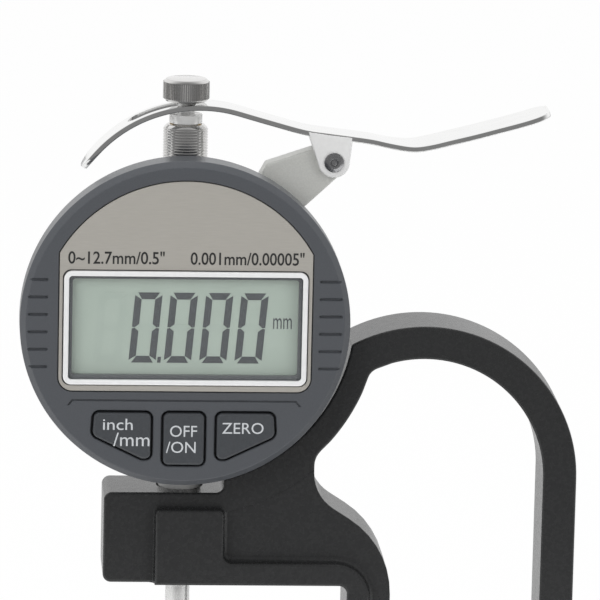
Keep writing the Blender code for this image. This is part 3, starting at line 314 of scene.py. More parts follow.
# %% Grainy and brushed finishes
def node(tree, kind, inputs=None, **settings):
    """A new node in a tree; each input is given a value, or the output of another node."""
    made = tree.nodes.new(kind)
    for name, value in settings.items():
        setattr(made, name, value)
    for socket, value in (inputs or {}).items():
        if isinstance(value, bpy.types.NodeSocket):
            tree.links.new(value, made.inputs[socket])
        else:
            made.inputs[socket].default_value = value
    return made


def new_finish(name, metallic, sockets):
    """A new material with its shader's constant values set on its own sockets."""
    material = bpy.data.materials.new(name)
    material.use_nodes = True
    shader = material.node_tree.nodes["Principled BSDF"]
    for socket, value in {"Metallic": metallic, **sockets}.items():
        shader.inputs[socket].default_value = value
    return material, material.node_tree


def dressed(tree, pattern, colours, roughness, bump, height):
    """Sends one pattern to the colour, the roughness and the bump of the shader."""
    low, high = 0.3, 0.7  # most of the noise lies between these
    ramp = node(tree, "ShaderNodeValToRGB", {"Fac": pattern})
    for element, position, colour in zip(ramp.color_ramp.elements, (low, high), colours):
        element.position = position
        element.color = (*colour, 1)
    ends = {"From Min": low, "From Max": high, "To Min": roughness[0], "To Max": roughness[1]}
    spread = node(tree, "ShaderNodeMapRange", {"Value": pattern, **ends})
    relief = node(tree, "ShaderNodeBump", {"Strength": bump, "Distance": height, "Height": pattern})
    shader = tree.nodes["Principled BSDF"]
    tree.links.new(ramp.outputs["Color"], shader.inputs["Base Color"])
    tree.links.new(spread.outputs["Result"], shader.inputs["Roughness"])
    tree.links.new(relief.outputs["Normal"], shader.inputs["Normal"])


def grainy(name, colours, roughness, grain, bump=0.3, height=0.02 * MM, stretch=(1, 1, 1), metallic=0.0, **sockets):
    """Paint, plastic, rubber or blasted metal: noise of one grain size, or drawn out along an axis."""
    material, tree = new_finish(name, metallic, sockets)
    place = node(tree, "ShaderNodeTexCoord").outputs["Object"]
    mapping = node(tree, "ShaderNodeMapping", {"Vector": place, "Scale": [1 / (grain * s) for s in stretch]})
    noise = node(tree, "ShaderNodeTexNoise", {"Vector": mapping.outputs["Vector"], "Scale": 1, "Detail": 5})
    dressed(tree, noise.outputs["Fac"], colours, roughness, bump, height)
    return material


def lathed(
    name, colours, roughness, pitch, middle=(0, 0, 0), along="Z", bump=0.2, height=0.01 * MM, metallic=1.0, **sockets
):
    """Turned or circular-brushed metal: fine rings about an axis, also across its end faces."""
    material, tree = new_finish(name, metallic, sockets)
    place = node(tree, "ShaderNodeTexCoord").outputs["Object"]
    mapping = node(tree, "ShaderNodeMapping", {"Vector": place, "Location": [-m for m in middle]})
    parts = node(tree, "ShaderNodeSeparateXYZ", {"Vector": mapping.outputs["Vector"]}).outputs
    flat = node(tree, "ShaderNodeCombineXYZ", {"X": parts["X"], "Y": parts["Z" if along == "Y" else "Y"]})
    radius = node(tree, "ShaderNodeVectorMath", {0: flat.outputs["Vector"]}, operation="LENGTH")
    marks = node(tree, "ShaderNodeCombineXYZ", {"X": radius.outputs["Value"], "Y": parts[along]})
    noise = node(tree, "ShaderNodeTexNoise", {"Vector": marks.outputs["Vector"], "Scale": 1 / pitch, "Detail": 4})
    dressed(tree, noise.outputs["Fac"], colours, roughness, bump, height)
    return material


# %% The gauge's own finishes
casting_paint = grainy("casting_paint", ((0.021, 0.0215, 0.022), (0.025, 0.0255, 0.026)), (0.24, 0.30), 0.8 * MM, 0.02)
shell_plastic = grainy("shell_plastic", ((0.074, 0.079, 0.088), (0.086, 0.092, 0.102)), (0.28, 0.36), 0.25 * MM, 0.1)
key_plastic = grainy("key_plastic", ((0.050, 0.054, 0.060), (0.060, 0.065, 0.072)), (0.30, 0.40), 0.3 * MM)
key_print = grainy("key_print", ((0.52, 0.54, 0.56), (0.60, 0.62, 0.64)), (0.45, 0.55), 0.2 * MM, 0.1)
plate_print = grainy("plate_print", ((0.018, 0.018, 0.018), (0.03, 0.03, 0.03)), (0.45, 0.6), 0.2 * MM, 0.1)
plate_metal = grainy(
    "plate_metal", ((0.418, 0.400, 0.365), (0.452, 0.434, 0.396)), (0.34, 0.46), 0.12 * MM, 0.15, stretch=(24, 1, 1),
    metallic=0.2,
)
# The frame's near-white colour, with little metal in it, is partly its silver and partly a painted reflection of the
# light that polished chrome mirrors.
trim_chrome = grainy(
    "trim_chrome", ((0.90, 0.905, 0.91), (0.95, 0.955, 0.96)), (0.08, 0.16), 1.2 * MM, 0.05, metallic=0.2
)
strip_chrome = grainy(
    "strip_chrome", ((0.83, 0.83, 0.825), (0.90, 0.90, 0.895)), (0.06, 0.12), 0.5 * MM, 0.06, stretch=(8, 1, 8),
    metallic=1.0,
)
ear_satin = grainy("ear_satin", ((0.84, 0.84, 0.835), (0.88, 0.88, 0.875)), (0.30, 0.36), 0.8 * MM, 0.02, metallic=0.2)
turned_chrome = lathed("turned_chrome", ((0.64, 0.635, 0.625), (0.76, 0.75, 0.74)), (0.08, 0.16), 0.15 * MM)
ground_steel = lathed("ground_steel", ((0.76, 0.76, 0.75), (0.88, 0.88, 0.87)), (0.14, 0.26), 0.10 * MM, metallic=0.45)
screw_steel = grainy("screw_steel", ((0.42, 0.42, 0.43), (0.56, 0.56, 0.57)), (0.22, 0.36), 0.2 * MM, metallic=1.0)
black_steel = grainy("black_steel", ((0.05, 0.05, 0.055), (0.09, 0.09, 0.095)), (0.30, 0.45), 0.2 * MM, metallic=1.0)
satin_case = grainy("satin_case", ((0.50, 0.51, 0.52), (0.60, 0.61, 0.62)), (0.26, 0.40), 0.15 * MM, 0.2, metallic=1.0)
bracket_metal = grainy(
    "bracket_metal", ((0.63, 0.635, 0.605), (0.70, 0.705, 0.675)), (0.34, 0.46), 0.3 * MM, 0.2, metallic=0.3
)
cover_metal = lathed("cover_metal", ((0.46, 0.47, 0.48), (0.60, 0.61, 0.62)), (0.24, 0.40), 0.2 * MM, (0, 0, DIAL), "Y")
display_liquid = grainy("display_liquid", ((0.377, 0.452, 0.394), (0.397, 0.472, 0.414)), (0.30, 0.42), 6 * MM, 0.02)
digit_dark = grainy("digit_dark", ((0.038, 0.044, 0.052), (0.048, 0.055, 0.064)), (0.35, 0.45), 0.8 * MM, 0.02)
digit_ghost = grainy("digit_ghost", ((0.361, 0.434, 0.380), (0.381, 0.454, 0.400)), (0.30, 0.42), 6 * MM, 0.02)
window_glass = grainy("window_glass", ((0.80, 0.84, 0.82), (0.86, 0.88, 0.87)), (0.02, 0.05), 20 * MM, 0.01, Alpha=0.04)
inner_plastic = grainy("inner_plastic", ((0.035, 0.035, 0.038), (0.05, 0.05, 0.054)), (0.45, 0.6), 0.3 * MM)
mat_rubber = grainy("mat_rubber", ((0.05, 0.05, 0.053), (0.07, 0.07, 0.073)), (0.7, 0.85), 0.2 * MM)
bush_brass = lathed("bush_brass", ((0.56, 0.40, 0.17), (0.70, 0.52, 0.24)), (0.25, 0.40), 0.2 * MM)
block_brass = grainy("block_brass", ((0.52, 0.38, 0.18), (0.62, 0.46, 0.23)), (0.3, 0.45), 0.3 * MM, metallic=1.0)
spring_wire = grainy("spring_wire", ((0.45, 0.45, 0.46), (0.58, 0.58, 0.58)), (0.2, 0.34), 0.2 * MM, metallic=1.0)
board_green = grainy("board_green", ((0.012, 0.10, 0.045), (0.03, 0.17, 0.075)), (0.3, 0.45), 1.5 * MM)
sensor_blue = grainy("sensor_blue", ((0.02, 0.08, 0.16), (0.04, 0.14, 0.24)), (0.3, 0.45), 1.0 * MM)
scale_glass = grainy(
    "scale_glass", ((0.05, 0.14, 0.08), (0.14, 0.28, 0.17)), (0.15, 0.3), 0.3 * MM, stretch=(20, 20, 1)
)
cell_steel = grainy("cell_steel", ((0.62, 0.62, 0.61), (0.74, 0.74, 0.73)), (0.18, 0.32), 0.4 * MM, metallic=1.0)
print("finishes:", len(bpy.data.materials))

# %% [markdown]
# ## The frame casting
#
# The frame is one iron casting, painted black: a block that clamps the indicator's stem, a round cradle under the
# case, the throat with its raised rim, and the D-handle. It could be sculpted, or bevelled after it is cut. Here
# the flat body is one drawing with rounded edges, and the raised boss and rim are a second solid that meets it in a
# soft root, as the pattern maker's fillet does. Two solids joined once give a clean edge everywhere.

# %% The casting's sizes, from the spindle's axis and the underside
nose = -9.5 * MM
block_left = -14.1 * MM
horn_angle = -9
throat_top = 52.1 * MM
block_top = 69.1 * MM
arm_top = 14.0 * MM
throat_depth = 30.8 * MM
rim_width = 4.2 * MM
handle_reach = casting_high.x
grip_inner = handle_reach - 6.2 * MM
spine_side = throat_depth + 8.2 * MM
heel_band = 6.4 * MM
heel_round = 5.0 * MM
heel_flat = 2.4 * MM
arch_band = 6.1 * MM
cradle_edge = CASE + 1.2 * MM
cradle_back = cradle_edge + 4.6 * MM
boss_left = -4.6 * MM
boss_right = 7.9 * MM
flat_front = -7.0 * MM
web_front = -6.7 * MM
raised_front = casting_low.y
back = casting_high.y


def circles_meet(first, first_radius, second, second_radius):
    """The upper of the two points where two circles cross."""
    first, second = Vector(first), Vector(second)
    apart = second - first
    along = (first_radius**2 - second_radius**2 + apart.length**2) / (2 * apart.length)
    off = math.sqrt(first_radius**2 - along**2)
    across = Vector((-apart.y, apart.x)).normalized()
    return first + apart.normalized() * along + across * off


def angle_about(centre, point):
    return math.degrees(math.atan2(point[1] - centre[1], point[0] - centre[0]))


# %% The outer edge and the hand opening
horn = on_circle(0, DIAL, cradle_edge, horn_angle)
arch_top = DIAL - 1.4 * MM
across, rise = handle_reach - horn[0], arch_top - horn[1]
arch_radius = across + rise - math.sqrt(2 * across * rise)
arch = (handle_reach - arch_radius, arch_top - arch_radius)
heel = grip_inner - spine_side - heel_round - heel_flat
horn_round = 1.0 * MM
horn_clear = math.degrees(1.5 * horn_round)
casting_edge = rounded(
    [(nose, 0, 2.5 * MM), (handle_reach, 0, heel + heel_band)]
    + arc(*arch, arch_radius, 0, angle_about(arch, horn) - horn_clear / arch_radius, 44)
    + [(*horn, horn_round)]
    + arc(0, DIAL, cradle_edge, horn_angle - horn_clear / cradle_edge,
          -math.degrees(math.acos(boss_right / cradle_edge)), 36)
    + [
        (boss_right, block_top, 1.5 * MM), (block_left, block_top, 1.5 * MM), (block_left, throat_top, 1.5 * MM),
        (throat_depth, throat_top, 1.5 * MM), (throat_depth, arm_top, 4.0 * MM), (nose, arm_top, 2.5 * MM),
    ]
)
crown_round = 2.8 * MM
crown_clear = math.degrees(1.5 * crown_round)
inner_arch = arch_radius - arch_band
inner_middle = (grip_inner - inner_arch, arch[1])
crown = circles_meet((0, DIAL), cradle_back, inner_middle, inner_arch)
lobe = 24.5 * MM
lobe_angle = math.degrees(math.acos(lobe / cradle_back))
hand_opening = rounded(
    [(spine_side, heel_band, heel_round), (grip_inner, heel_band, heel)]
    + arc(*inner_middle, inner_arch, 0, angle_about(inner_middle, crown) - crown_clear / inner_arch, 40)
    + [(*crown, crown_round)]
    + arc(0, DIAL, cradle_back, angle_about((0, DIAL), crown) - crown_clear / cradle_back,
          crown_clear / cradle_back - lobe_angle, 16)
    + [
        (lobe, DIAL - math.sqrt(cradle_back**2 - lobe**2), 4.0 * MM), (lobe, throat_top + 16.5 * MM, 8.0 * MM),
        (spine_side, throat_top + 7.2 * MM, 17.0 * MM),
    ]
)
print(f"outer edge {len(casting_edge)} points, hand opening {len(hand_opening)} points")

# %% The raised boss and rim, and the sunk web
inner_corner = 1.6 * MM
rim_side = throat_depth + rim_width
past = 3 * MM  # how far the plug runs past the edges that it doesn't shape
boss_and_rim = rounded(
    [
        (boss_left, throat_top - past), (throat_depth - past, throat_top - past),
        (throat_depth - past, arm_top + past), (boss_left, arm_top + past), (boss_left, -past), (boss_right, -past),
        (boss_right, arm_top - rim_width, inner_corner), (rim_side, arm_top - rim_width, 6.5 * MM),
        (rim_side, throat_top + rim_width, 6.5 * MM), (boss_right, throat_top + rim_width, inner_corner),
        (boss_right, block_top - 2.8 * MM, 0.9 * MM), (boss_left, block_top - 2.8 * MM, 0.9 * MM),
    ]
)
web_arc = CASE + 7.5 * MM
web_pocket = rounded(
    [
        (boss_right - past, arm_top - 9 * MM), (throat_depth + 15 * MM, arm_top - 9 * MM, 2 * MM),
        (throat_depth + 18 * MM, arm_top, 2 * MM), (throat_depth + 18 * MM, DIAL - CASE),
    ]
    + arc(0, DIAL, web_arc, -math.degrees(math.acos(throat_depth / web_arc)), -80, 20)
)


def raised_plug(reach=0.9 * MM, edge=0.45 * MM, root=1.1 * MM):
    """The boss and the rim as one solid: a rounded front edge, a plain wall and a soft root."""
    steps = [(-edge - 0.3 * MM, raised_front - 0.05 * MM)] + quarter_round(edge, raised_front)
    turns = [math.radians(15 * k) for k in range(6)]
    steps += [(root * (1 - math.cos(t)), web_front - root + root * math.sin(t)) for t in turns]
    return stepped("raised_plug", boss_and_rim, steps + [(root, web_front + reach)])


# %% Cast it
edge_round, hair = 0.5 * MM, 0.01 * MM
casting = solid("frame_casting_body", [casting_edge, hand_opening[::-1]], flat_front, back, edge_round, 4)
pocket = stepped("web_pocket", web_pocket, [(0.12 * MM, flat_front - 0.2 * MM), (0.1 * MM, flat_front), (0, web_front)])
casting = combined(casting, pocket)
raised_outlines = [grown(casting_edge, -hair), grown(hand_opening, hair)[::-1]]
raised = solid("raised_body", raised_outlines, raised_front, 0, edge_round, 4)
casting = combined(casting, combined(raised, raised_plug(), "INTERSECT"), "UNION")
for radius, start, end, along in (
    (4.3, throat_top - 3 * MM, 30, "Z"),  # the stem
    (2.8, arm_top - 9.3 * MM, 12, "Z"),  # the lower anvil
    (2.2, throat_top + 8.5 * MM, 12, "Y"),  # the screw that clamps the stem
    (2.2, arm_top / 2, 12, "Y"),  # the screw that holds the anvil
):
    casting = drilled(casting, radius * MM, 0, end * MM, (0, 0, start), along, 48)
casting = shown(casting, casting_paint, ["frame_casting"])

# %% [markdown]
# ## The moulded case
#
# The front of the indicator is a dark plastic moulding with a light chamfer round its rim, a recess for the dial
# plate, six grip grooves on each side, a hairline groove above the keys, and three key holes. The shell is turned
# on its axis like a pot, and everything else is cut into it. The twelve grooves repeat, so Geometry Nodes lay them.

# %% The turned shell
wall = 1.8 * MM
shell_back = shell_high.y
lip_front = shell_back - 1.5 * MM
face_inside = FACE + 2.0 * MM
rim_profile = softened(
    [
        (0, FACE), (CASE - 1.1 * MM, FACE), (CASE, FACE + 1.1 * MM), (CASE, shell_back), (BODY - wall, shell_back),
        (BODY - wall, lip_front), (CASE - wall, lip_front), (CASE - wall, face_inside), (0, face_inside),
    ],
    0.15 * MM,
)
shell = turned("case_front", rim_profile, (0, 0, DIAL), "Y", 192)
print("turned shell:", len(shell.data.polygons), "faces")

# %% Cut the plate's recess and the display's opening
plate_top = 26.4 * MM
plate_side = 22.9 * MM
plate_foot = 12.3 * MM
shoulder = math.degrees(math.acos(plate_side / plate_top))
plate_edge = at_dial(
    rounded(
        arc(0, 0, plate_top, shoulder, 180 - shoulder, 72)
        + [(-plate_side, -plate_foot, 2.5 * MM), (plate_side, -plate_foot, 2.5 * MM)]
    )
)
trim_side, trim_high, trim_low = 22.1 * MM, 9.9 * MM, 11.1 * MM


def display_edge(inset=0.0, corner=1.5 * MM):
    """The display's rounded rectangle, drawn in from the outside of its bright frame."""
    side = trim_side - inset
    return at_dial(box_outline(-side, side, inset - trim_low, trim_high - inset, corner))


recess_floor = FACE + 0.9 * MM
recess = stepped(
    "plate_recess", plate_edge, [(0.45 * MM, FACE - 0.2 * MM), (0.2 * MM, FACE + 0.1 * MM), (0.2 * MM, recess_floor)]
)
shell = combined(shell, recess)
opening = solid("display_opening", [display_edge(1.6 * MM, 0.6 * MM)], FACE - MM, face_inside + MM)
shell = combined(shell, opening)
print("recess and opening cut:", len(shell.data.polygons), "faces")

# %% Cut the three key holes
key_top = -16.3 * MM
key_outer = 16.6 * MM
side_key = [
    (6.0 * MM, -24.8 * MM, 1.0 * MM), (7.6 * MM, -24.8 * MM, 1.0 * MM), (key_outer, key_top - 4.2 * MM, 1.4 * MM),
    (key_outer - 0.3 * MM, key_top, 1.0 * MM), (6.0 * MM, key_top, 1.0 * MM),
]
key_edges = {
    "unit_button": at_dial(rounded([(-x, z, r) for x, z, r in side_key[::-1]])),
    "power_button": at_dial(box_outline(-3.7 * MM, 3.7 * MM, -25.9 * MM, key_top, 1.0 * MM)),
    "zero_button": at_dial(rounded(side_key)),
}
hole_steps = [(0.75 * MM, FACE - 0.2 * MM), (0.4 * MM, FACE + 0.15 * MM), (0.35 * MM, face_inside + MM)]
for name, edge in key_edges.items():
    shell = combined(shell, stepped(name + "_hole", edge, hole_steps))
print("key holes cut:", ", ".join(key_edges))

# %% [markdown]
# ### Repeated shapes with Geometry Nodes
#
# A row of grooves, a ring of flutes and a set of screws are the same move: one small shape, set down many times.
# Copying by hand makes a file that is hard to change. A Geometry Nodes tree keeps the count and the step as named
# inputs. The copies are made real at the end, because an exported model keeps no instances.


# %% Two trees: steps in a row and turns about an axis
def new_tree(name, inputs):
    """An empty Geometry Nodes tree with named inputs, each (name, type, value)."""
    tree = bpy.data.node_groups.new(name, "GeometryNodeTree")
    tree.interface.new_socket(name="Shape", in_out="INPUT", socket_type="NodeSocketGeometry")
    for label, kind, value in [*inputs, ("Finish", "NodeSocketMaterial", None)]:
        socket = tree.interface.new_socket(name=label, in_out="INPUT", socket_type=kind)
        if value is not None:
            socket.default_value = value
    tree.interface.new_socket(name="Shape", in_out="OUTPUT", socket_type="NodeSocketGeometry")
    return tree, tree.nodes.new("NodeGroupInput").outputs


def copied(tree, finish, **links):
    """Sets a shape on every point, makes the copies real, gives them their material and sends them out."""
    copies = node(tree, "GeometryNodeInstanceOnPoints", links)
    real = node(tree, "GeometryNodeRealizeInstances", {"Geometry": copies.outputs["Instances"]})
    colour = node(tree, "GeometryNodeSetMaterial", {"Geometry": real.outputs["Geometry"], "Material": finish})
    node(tree, "NodeGroupOutput", {"Shape": colour.outputs["Geometry"]})
    return tree


def row_tree():
    """Copies the shape a number of times, a fixed step apart."""
    inputs = [("Count", "NodeSocketInt", 6), ("Step", "NodeSocketVector", (0, 0, 0))]
    tree, given = new_tree("shapes_in_a_row", inputs)
    line = node(tree, "GeometryNodeMeshLine", {"Count": given["Count"], "Offset": given["Step"]}, mode="OFFSET")
    return copied(tree, given["Finish"], Points=line.outputs["Mesh"], Instance=given["Shape"])


def ring_tree():
    """Copies the shape a number of times round the Z axis."""
    tree, given = new_tree("shapes_round_an_axis", [("Count", "NodeSocketInt", 42)])
    points = node(tree, "GeometryNodePoints", {"Count": given["Count"]}).outputs["Points"]
    index = node(tree, "GeometryNodeInputIndex").outputs["Index"]
    share = node(tree, "ShaderNodeMath", {0: index, 1: given["Count"]}, operation="DIVIDE")
    turn = node(tree, "ShaderNodeMath", {0: share.outputs["Value"], 1: math.tau}, operation="MULTIPLY")
    about = node(tree, "ShaderNodeCombineXYZ", {"Z": turn.outputs["Value"]})
    return copied(tree, given["Finish"], Points=points, Instance=given["Shape"], Rotation=about.outputs["Vector"])


def repeated(shape, tree, **values):
    """Runs a tree on a shape and returns one plain mesh."""
    modifier = shape.modifiers.new(tree.name, "NODES")
    modifier.node_group = tree
    for item in tree.interface.items_tree:
        if item.in_out == "INPUT" and item.name in values:
            modifier[item.identifier] = values[item.name]
    return settled(shape)


in_a_row = row_tree()
round_an_axis = ring_tree()
print("trees:", in_a_row.name, round_an_axis.name)

# %% Cut the grip grooves and the hairline
groove_pitch, groove_half = 3.22 * MM, 0.2 * MM
first_up = DIAL + 8.2 * MM
groove_steps = [(0.16 * MM, FACE - 0.1 * MM), (0.0, FACE + 0.2 * MM), (-0.08 * MM, FACE + 0.5 * MM)]
for side, inner, outer in ((-1, 25.0, 28.5), (1, 24.3, 28.4)):
    left, right = sorted((side * inner * MM, side * outer * MM))
    bar = box_outline(left, right, first_up - groove_half, first_up + groove_half, groove_half * 0.9)
    groove = stepped("grip_groove", bar, groove_steps)
    grooves = repeated(groove, in_a_row, Count=6, Step=(0.0, 0.0, -groove_pitch), Finish=shell_plastic)
    shell = combined(shell, grooves)
hairline = rounded(
    mm((-21.3, -15.0), (-20.9, -15.0), (-20.2, -14.2, 0.4), (20.2, -14.2, 0.4), (20.9, -15.0), (21.3, -15.0),
       (20.4, -13.85, 0.4), (-20.4, -13.85, 0.4))
)
shell = combined(shell, solid("hairline", [at_dial(hairline)], FACE - MM, FACE + 0.35 * MM))
shell = shown(shell, shell_plastic, ["front_shell"])

# %% [markdown]
# ## The dial plate and the display
#
# The plate is thin satin metal with the range and the resolution printed on it. The display sits in a bright
# polished frame under a clear window; the frame's near-white colour is partly silver and partly a painted reflection.
# Its figures are dark shapes just in front of the greenish glass, each made of bars with mitred ends, because that
# is what the electrodes of such a display look like.

# %% Plate, bright frame and window
plate_front = FACE + 0.1 * MM
plate = solid(
    "dial_plate", [plate_edge, display_edge(-0.2 * MM)[::-1]], plate_front, plate_front + 0.6 * MM, 0.08 * MM, 2
)
plate = shown(plate, plate_metal, ["face_plate"])
trim_low_corner, trim_high_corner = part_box("display_frame")
trim_outlines = [display_edge(), display_edge(0.95 * MM, 0.6 * MM)[::-1]]
trim = solid("display_trim", trim_outlines, trim_low_corner.y, trim_high_corner.y, 0.3 * MM, 4)
# The trim's near-white colour holds a painted reflection.
trim = shown(trim, trim_chrome, ["display_frame"])
window_low, window_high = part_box("display_window")
window = solid("clear_window", [display_edge(1.15 * MM, 0.5 * MM)], window_low.y, window_high.y, 0.05 * MM, 1)
window = shown(window, window_glass, ["display_window"])


# %% The figures
lcd_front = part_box("lcd_module")[0].y
figure_height, figure_width, stroke = 13.0 * MM, 4.95 * MM, 1.25 * MM
slant = 0.086
figure_foot = DIAL - 7.45 * MM


def bar_outlines(which):
    """The mitred bars of one seven-bar figure, with its lower left corner at the origin."""
    w, h, s, gap = figure_width, figure_height, stroke, 0.05 * MM
    mid = h / 2
    cut = 0.4 * s
    bars = {
        "top": [(cut, h), (w - cut, h), (w - s - gap, h - s), (s + gap, h - s)],
        "foot": [(cut, 0), (s + gap, s), (w - s - gap, s), (w - cut, 0)],
        "middle": [(s, mid - s / 2), (w - s, mid - s / 2), (w - s * 0.6, mid), (w - s, mid + s / 2), (s, mid + s / 2),
                   (s * 0.6, mid)],
        "upper_left": [(0, h - cut), (s, h - s - gap), (s, mid + s / 2 + gap), (s * 0.4, mid + gap),
                       (0, mid + gap * 3)],
        "lower_left": [(0, cut), (0, mid - gap * 3), (s * 0.4, mid - gap), (s, mid - s / 2 - gap), (s, s + gap)],
    }
    for half in ("upper", "lower"):
        bars[half + "_right"] = [(w - x, z) for x, z in bars[half + "_left"]][::-1]
    return [bars[name] for name in which]


def leaning(left, outline):
    """An outline at its place on the display, leaning to the right."""
    return [(left + x + z * slant, figure_foot + z) for x, z in outline]


def figure(place, which):
    """One figure, at a place counted from the first of the reading."""
    return [leaning(first_left + place * figure_pitch, bar) for bar in bar_outlines(which)]


zero_bars = ("top", "foot", "upper_left", "lower_left", "upper_right", "lower_right")
figure_pitch = 6.42 * MM
first_left = -10.2 * MM
reading = [bar for place in range(4) for bar in figure(place, zero_bars)]
point = mm((0, 0), (0.62, 0), (0.62, 1.1), (0, 1.1))
reading.append(leaning(first_left + figure_width + 0.28 * MM, point))
shown(solid("display_reading", reading, lcd_front - 0.06 * MM, lcd_front - 0.01 * MM), digit_dark)
unlit = figure(-1, zero_bars + ("middle",)) + [bar for place in range(4) for bar in figure(place, ("middle",))]
shown(solid("display_unlit", unlit, lcd_front - 0.05 * MM, lcd_front - 0.01 * MM), digit_ghost)


# %% Printed words
def word(name, text, low, high, depth, finish, body="frame", weight=0.0):
    """A printed word fitted to a box on a face that looks to the front."""
    curve = bpy.data.curves.new(name, "FONT")
    curve.body = text
    curve.size = 1.0
    curve.offset = weight
    curve.resolution_u = 4
    curve.extrude = 0.01
    piece = settled(placed(name, curve))
    xs = [v.co.x for v in piece.data.vertices]
    ys = [v.co.y for v in piece.data.vertices]
    wide, tall = (high[0] - low[0]) / (max(xs) - min(xs)), (high[1] - low[1]) / (max(ys) - min(ys))
    for v in piece.data.vertices:
        x, y, z = v.co
        v.co = (low[0] + (x - min(xs)) * wide, depth - z * 2 * MM, low[1] + (y - min(ys)) * tall)
    print(f"{name}: {wide / MM:.2f} x {tall / MM:.2f} mm to the em")
    return shown(welded(piece), finish, body=body)


row_low, row_high = DIAL + 11.15 * MM, DIAL + 13.55 * MM
for name, text, left, right in (
    ("travel_print", '0~12.7mm/0.5"', -21.4, -4.0), ("step_print", '0.001mm/0.00005"', 0.7, 21.3)
):
    word(name, text, (left * MM, row_low), (right * MM, row_high), plate_front, plate_print,
         weight=0.012)
word("unit_sign", "mm", (16.0 * MM, DIAL - 1.0 * MM), (19.4 * MM, DIAL + 1.0 * MM), lcd_front - 0.02 * MM,
     digit_dark)

# %% [markdown]
# ## The three keys
#
# Each key is a moulded cap that stands just proud of the case, with a soft edge all round and light lettering. The
# cap is the key hole's outline drawn in, stepped back through a quarter round, and then out into the flange that
# holds it behind the face. The lettering rides with its key.

# %% Keys and their words
key_low, key_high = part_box("unit_button")
key_face = key_low.y + 0.03 * MM
flange_front = face_inside + 0.3 * MM
cap_steps = quarter_round(0.45 * MM, key_face)
cap_steps += [(0, flange_front), (0.7 * MM, flange_front), (0.7 * MM, key_high.y)]
key_words = {
    "unit_button": (("inch", -14.7, -19.4, -9.3, -17.3), ("/mm", -12.8, -22.4, -6.2, -19.9)),
    "power_button": (("OFF", -2.5, -20.6, 2.4, -18.5), ("/ON", -3.2, -23.6, 2.2, -21.5)),
    "zero_button": (("ZERO", 6.95, -19.95, 14.5, -17.9),),
}
for name, edge in key_edges.items():
    body = name.replace("button", "key")
    cap = stepped(name.replace("button", "cap"), edge, cap_steps)
    shown(cap, key_plastic, [name], body)
    for k, (text, x0, z0, x1, z1) in enumerate(key_words[name]):
        low, high = (x0 * MM, DIAL + z0 * MM), (x1 * MM, DIAL + z1 * MM)
        word(f"{body}_word_{k + 1}", text, low, high, key_face, key_print, body)

# %% [markdown]
# ## The silver body and its back
#
# Behind the moulding is a turned ring of satin metal, closed by a cover with four screws and the battery's coin
# slot. The back is plain on such indicators, so the turned marks of the cover do most of the work there.

# %% Housing ring
clear = 9 * MM  # far enough to cut through any piece
ring_front, ring_back = ring_low.y, ring_high.y
ring_profile = [
    (BODY - wall, ring_front), (BODY - 0.2 * MM, ring_front), (BODY, ring_front + 0.2 * MM),
    (BODY, ring_back - 0.3 * MM), (BODY - 0.3 * MM, ring_back), (BODY - wall, ring_back),
]
housing = turned("case_ring", softened(ring_profile, 0.1 * MM, 2), (0, 0, DIAL), "Y", 192, closed=True)
boss_half, screw_circle, screw_hole = 6.5 * MM, 23.4 * MM, 1.3 * MM
for up in (1, -1):
    low, high = sorted((DIAL + up * (BODY - wall - 5.2 * MM), DIAL + up * (BODY - wall + 0.6 * MM)))
    boss = [(-boss_half, low), (boss_half, low), (boss_half, high), (-boss_half, high)]
    housing = combined(housing, solid("boss", [boss], ring_front, ring_back), "UNION")
places = [on_circle(0, DIAL, screw_circle, angle) for angle in (72, 108, 213, 327)]
for x, z in places:
    post = rod("post", 2.3 * MM, ring_front + 0.2 * MM, ring_back - 0.2 * MM, (x, 0, z))
    housing = combined(housing, post, "UNION")
    housing = drilled(housing, screw_hole, -clear, clear, (x, 0, z), steps=24)
for radius, up in ((3.8, 1), (4.3, -1)):
    low, high = sorted((DIAL + up * 16 * MM, DIAL + up * 36 * MM))
    housing = drilled(housing, radius * MM, low, high, along="Z", steps=64)
housing = shown(housing, satin_case, ["rear_housing"])

# %% Rear cover and battery cover
cover_low, cover_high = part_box("rear_cover")
lid_low, lid_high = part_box("battery_cover")
lid_x, lid_z = (lid_low.x + lid_high.x) / 2, (lid_low.z + lid_high.z) / 2
lid_radius = (lid_high.x - lid_low.x) / 2
cover = solid("back_cover", [circle(0, DIAL, BODY - 0.4 * MM, 192)], cover_low.y, cover_high.y, 0.3 * MM, 3)
cover = drilled(cover, lid_radius + 0.3 * MM, -2 * MM, clear, (lid_x, 0, lid_z), steps=96)
seat, sink_radius = cover_high.y - 1.3 * MM, 2.2 * MM
sink = [(0, -clear), (screw_hole, -clear), (screw_hole, seat), (sink_radius, seat), (sink_radius, clear),
        (0, clear)]
for x, z in places:
    cover = combined(cover, turned("sink", sink, (x, 0, z), "Y", 32))
cover = shown(cover, cover_metal, ["rear_cover"])

lid = solid("battery_lid", [circle(lid_x, lid_z, lid_radius, 96)], lid_low.y, lid_high.y, 0.2 * MM, 2)
coin = box_outline(lid_x - 6 * MM, lid_x + 6 * MM, lid_z - 0.8 * MM, lid_z + 0.8 * MM, 0.7 * MM)
lid = combined(lid, solid("coin", [coin], lid_high.y - 0.6 * MM, lid_high.y + MM))
lid = shown(lid, inner_plastic, ["battery_cover"])

# %% [markdown]
# ### Screws
#
# One screw is turned and its cross recess is cut. A tree then sets it down on the four corners of a small mesh, and
# turns each head by a different amount, because real screws never stop at the same angle.


# %% The screw and the tree that sets it
def one_screw(name, shank, head, head_height, length):
    """A pan head at the origin, its shank towards the front, with a cross recess in its head."""
    profile = [(0, -length), (shank, -length), (shank, 0), (head, 0), (head, head_height * 0.45),
               (head * 0.72, head_height * 0.9), (0, head_height)]
    screw = turned(name, profile, (0, 0, 0), "Y", 32)
    arm, half = head * 0.6, head * 0.13
    cross = [(arm, -half), (arm, half), (half, half), (half, arm), (-half, arm), (-half, half), (-arm, half),
             (-arm, -half), (-half, -half), (-half, -arm), (half, -arm), (half, -half)]
    return combined(screw, solid("cross", [cross], head_height * 0.35, head_height * 2))


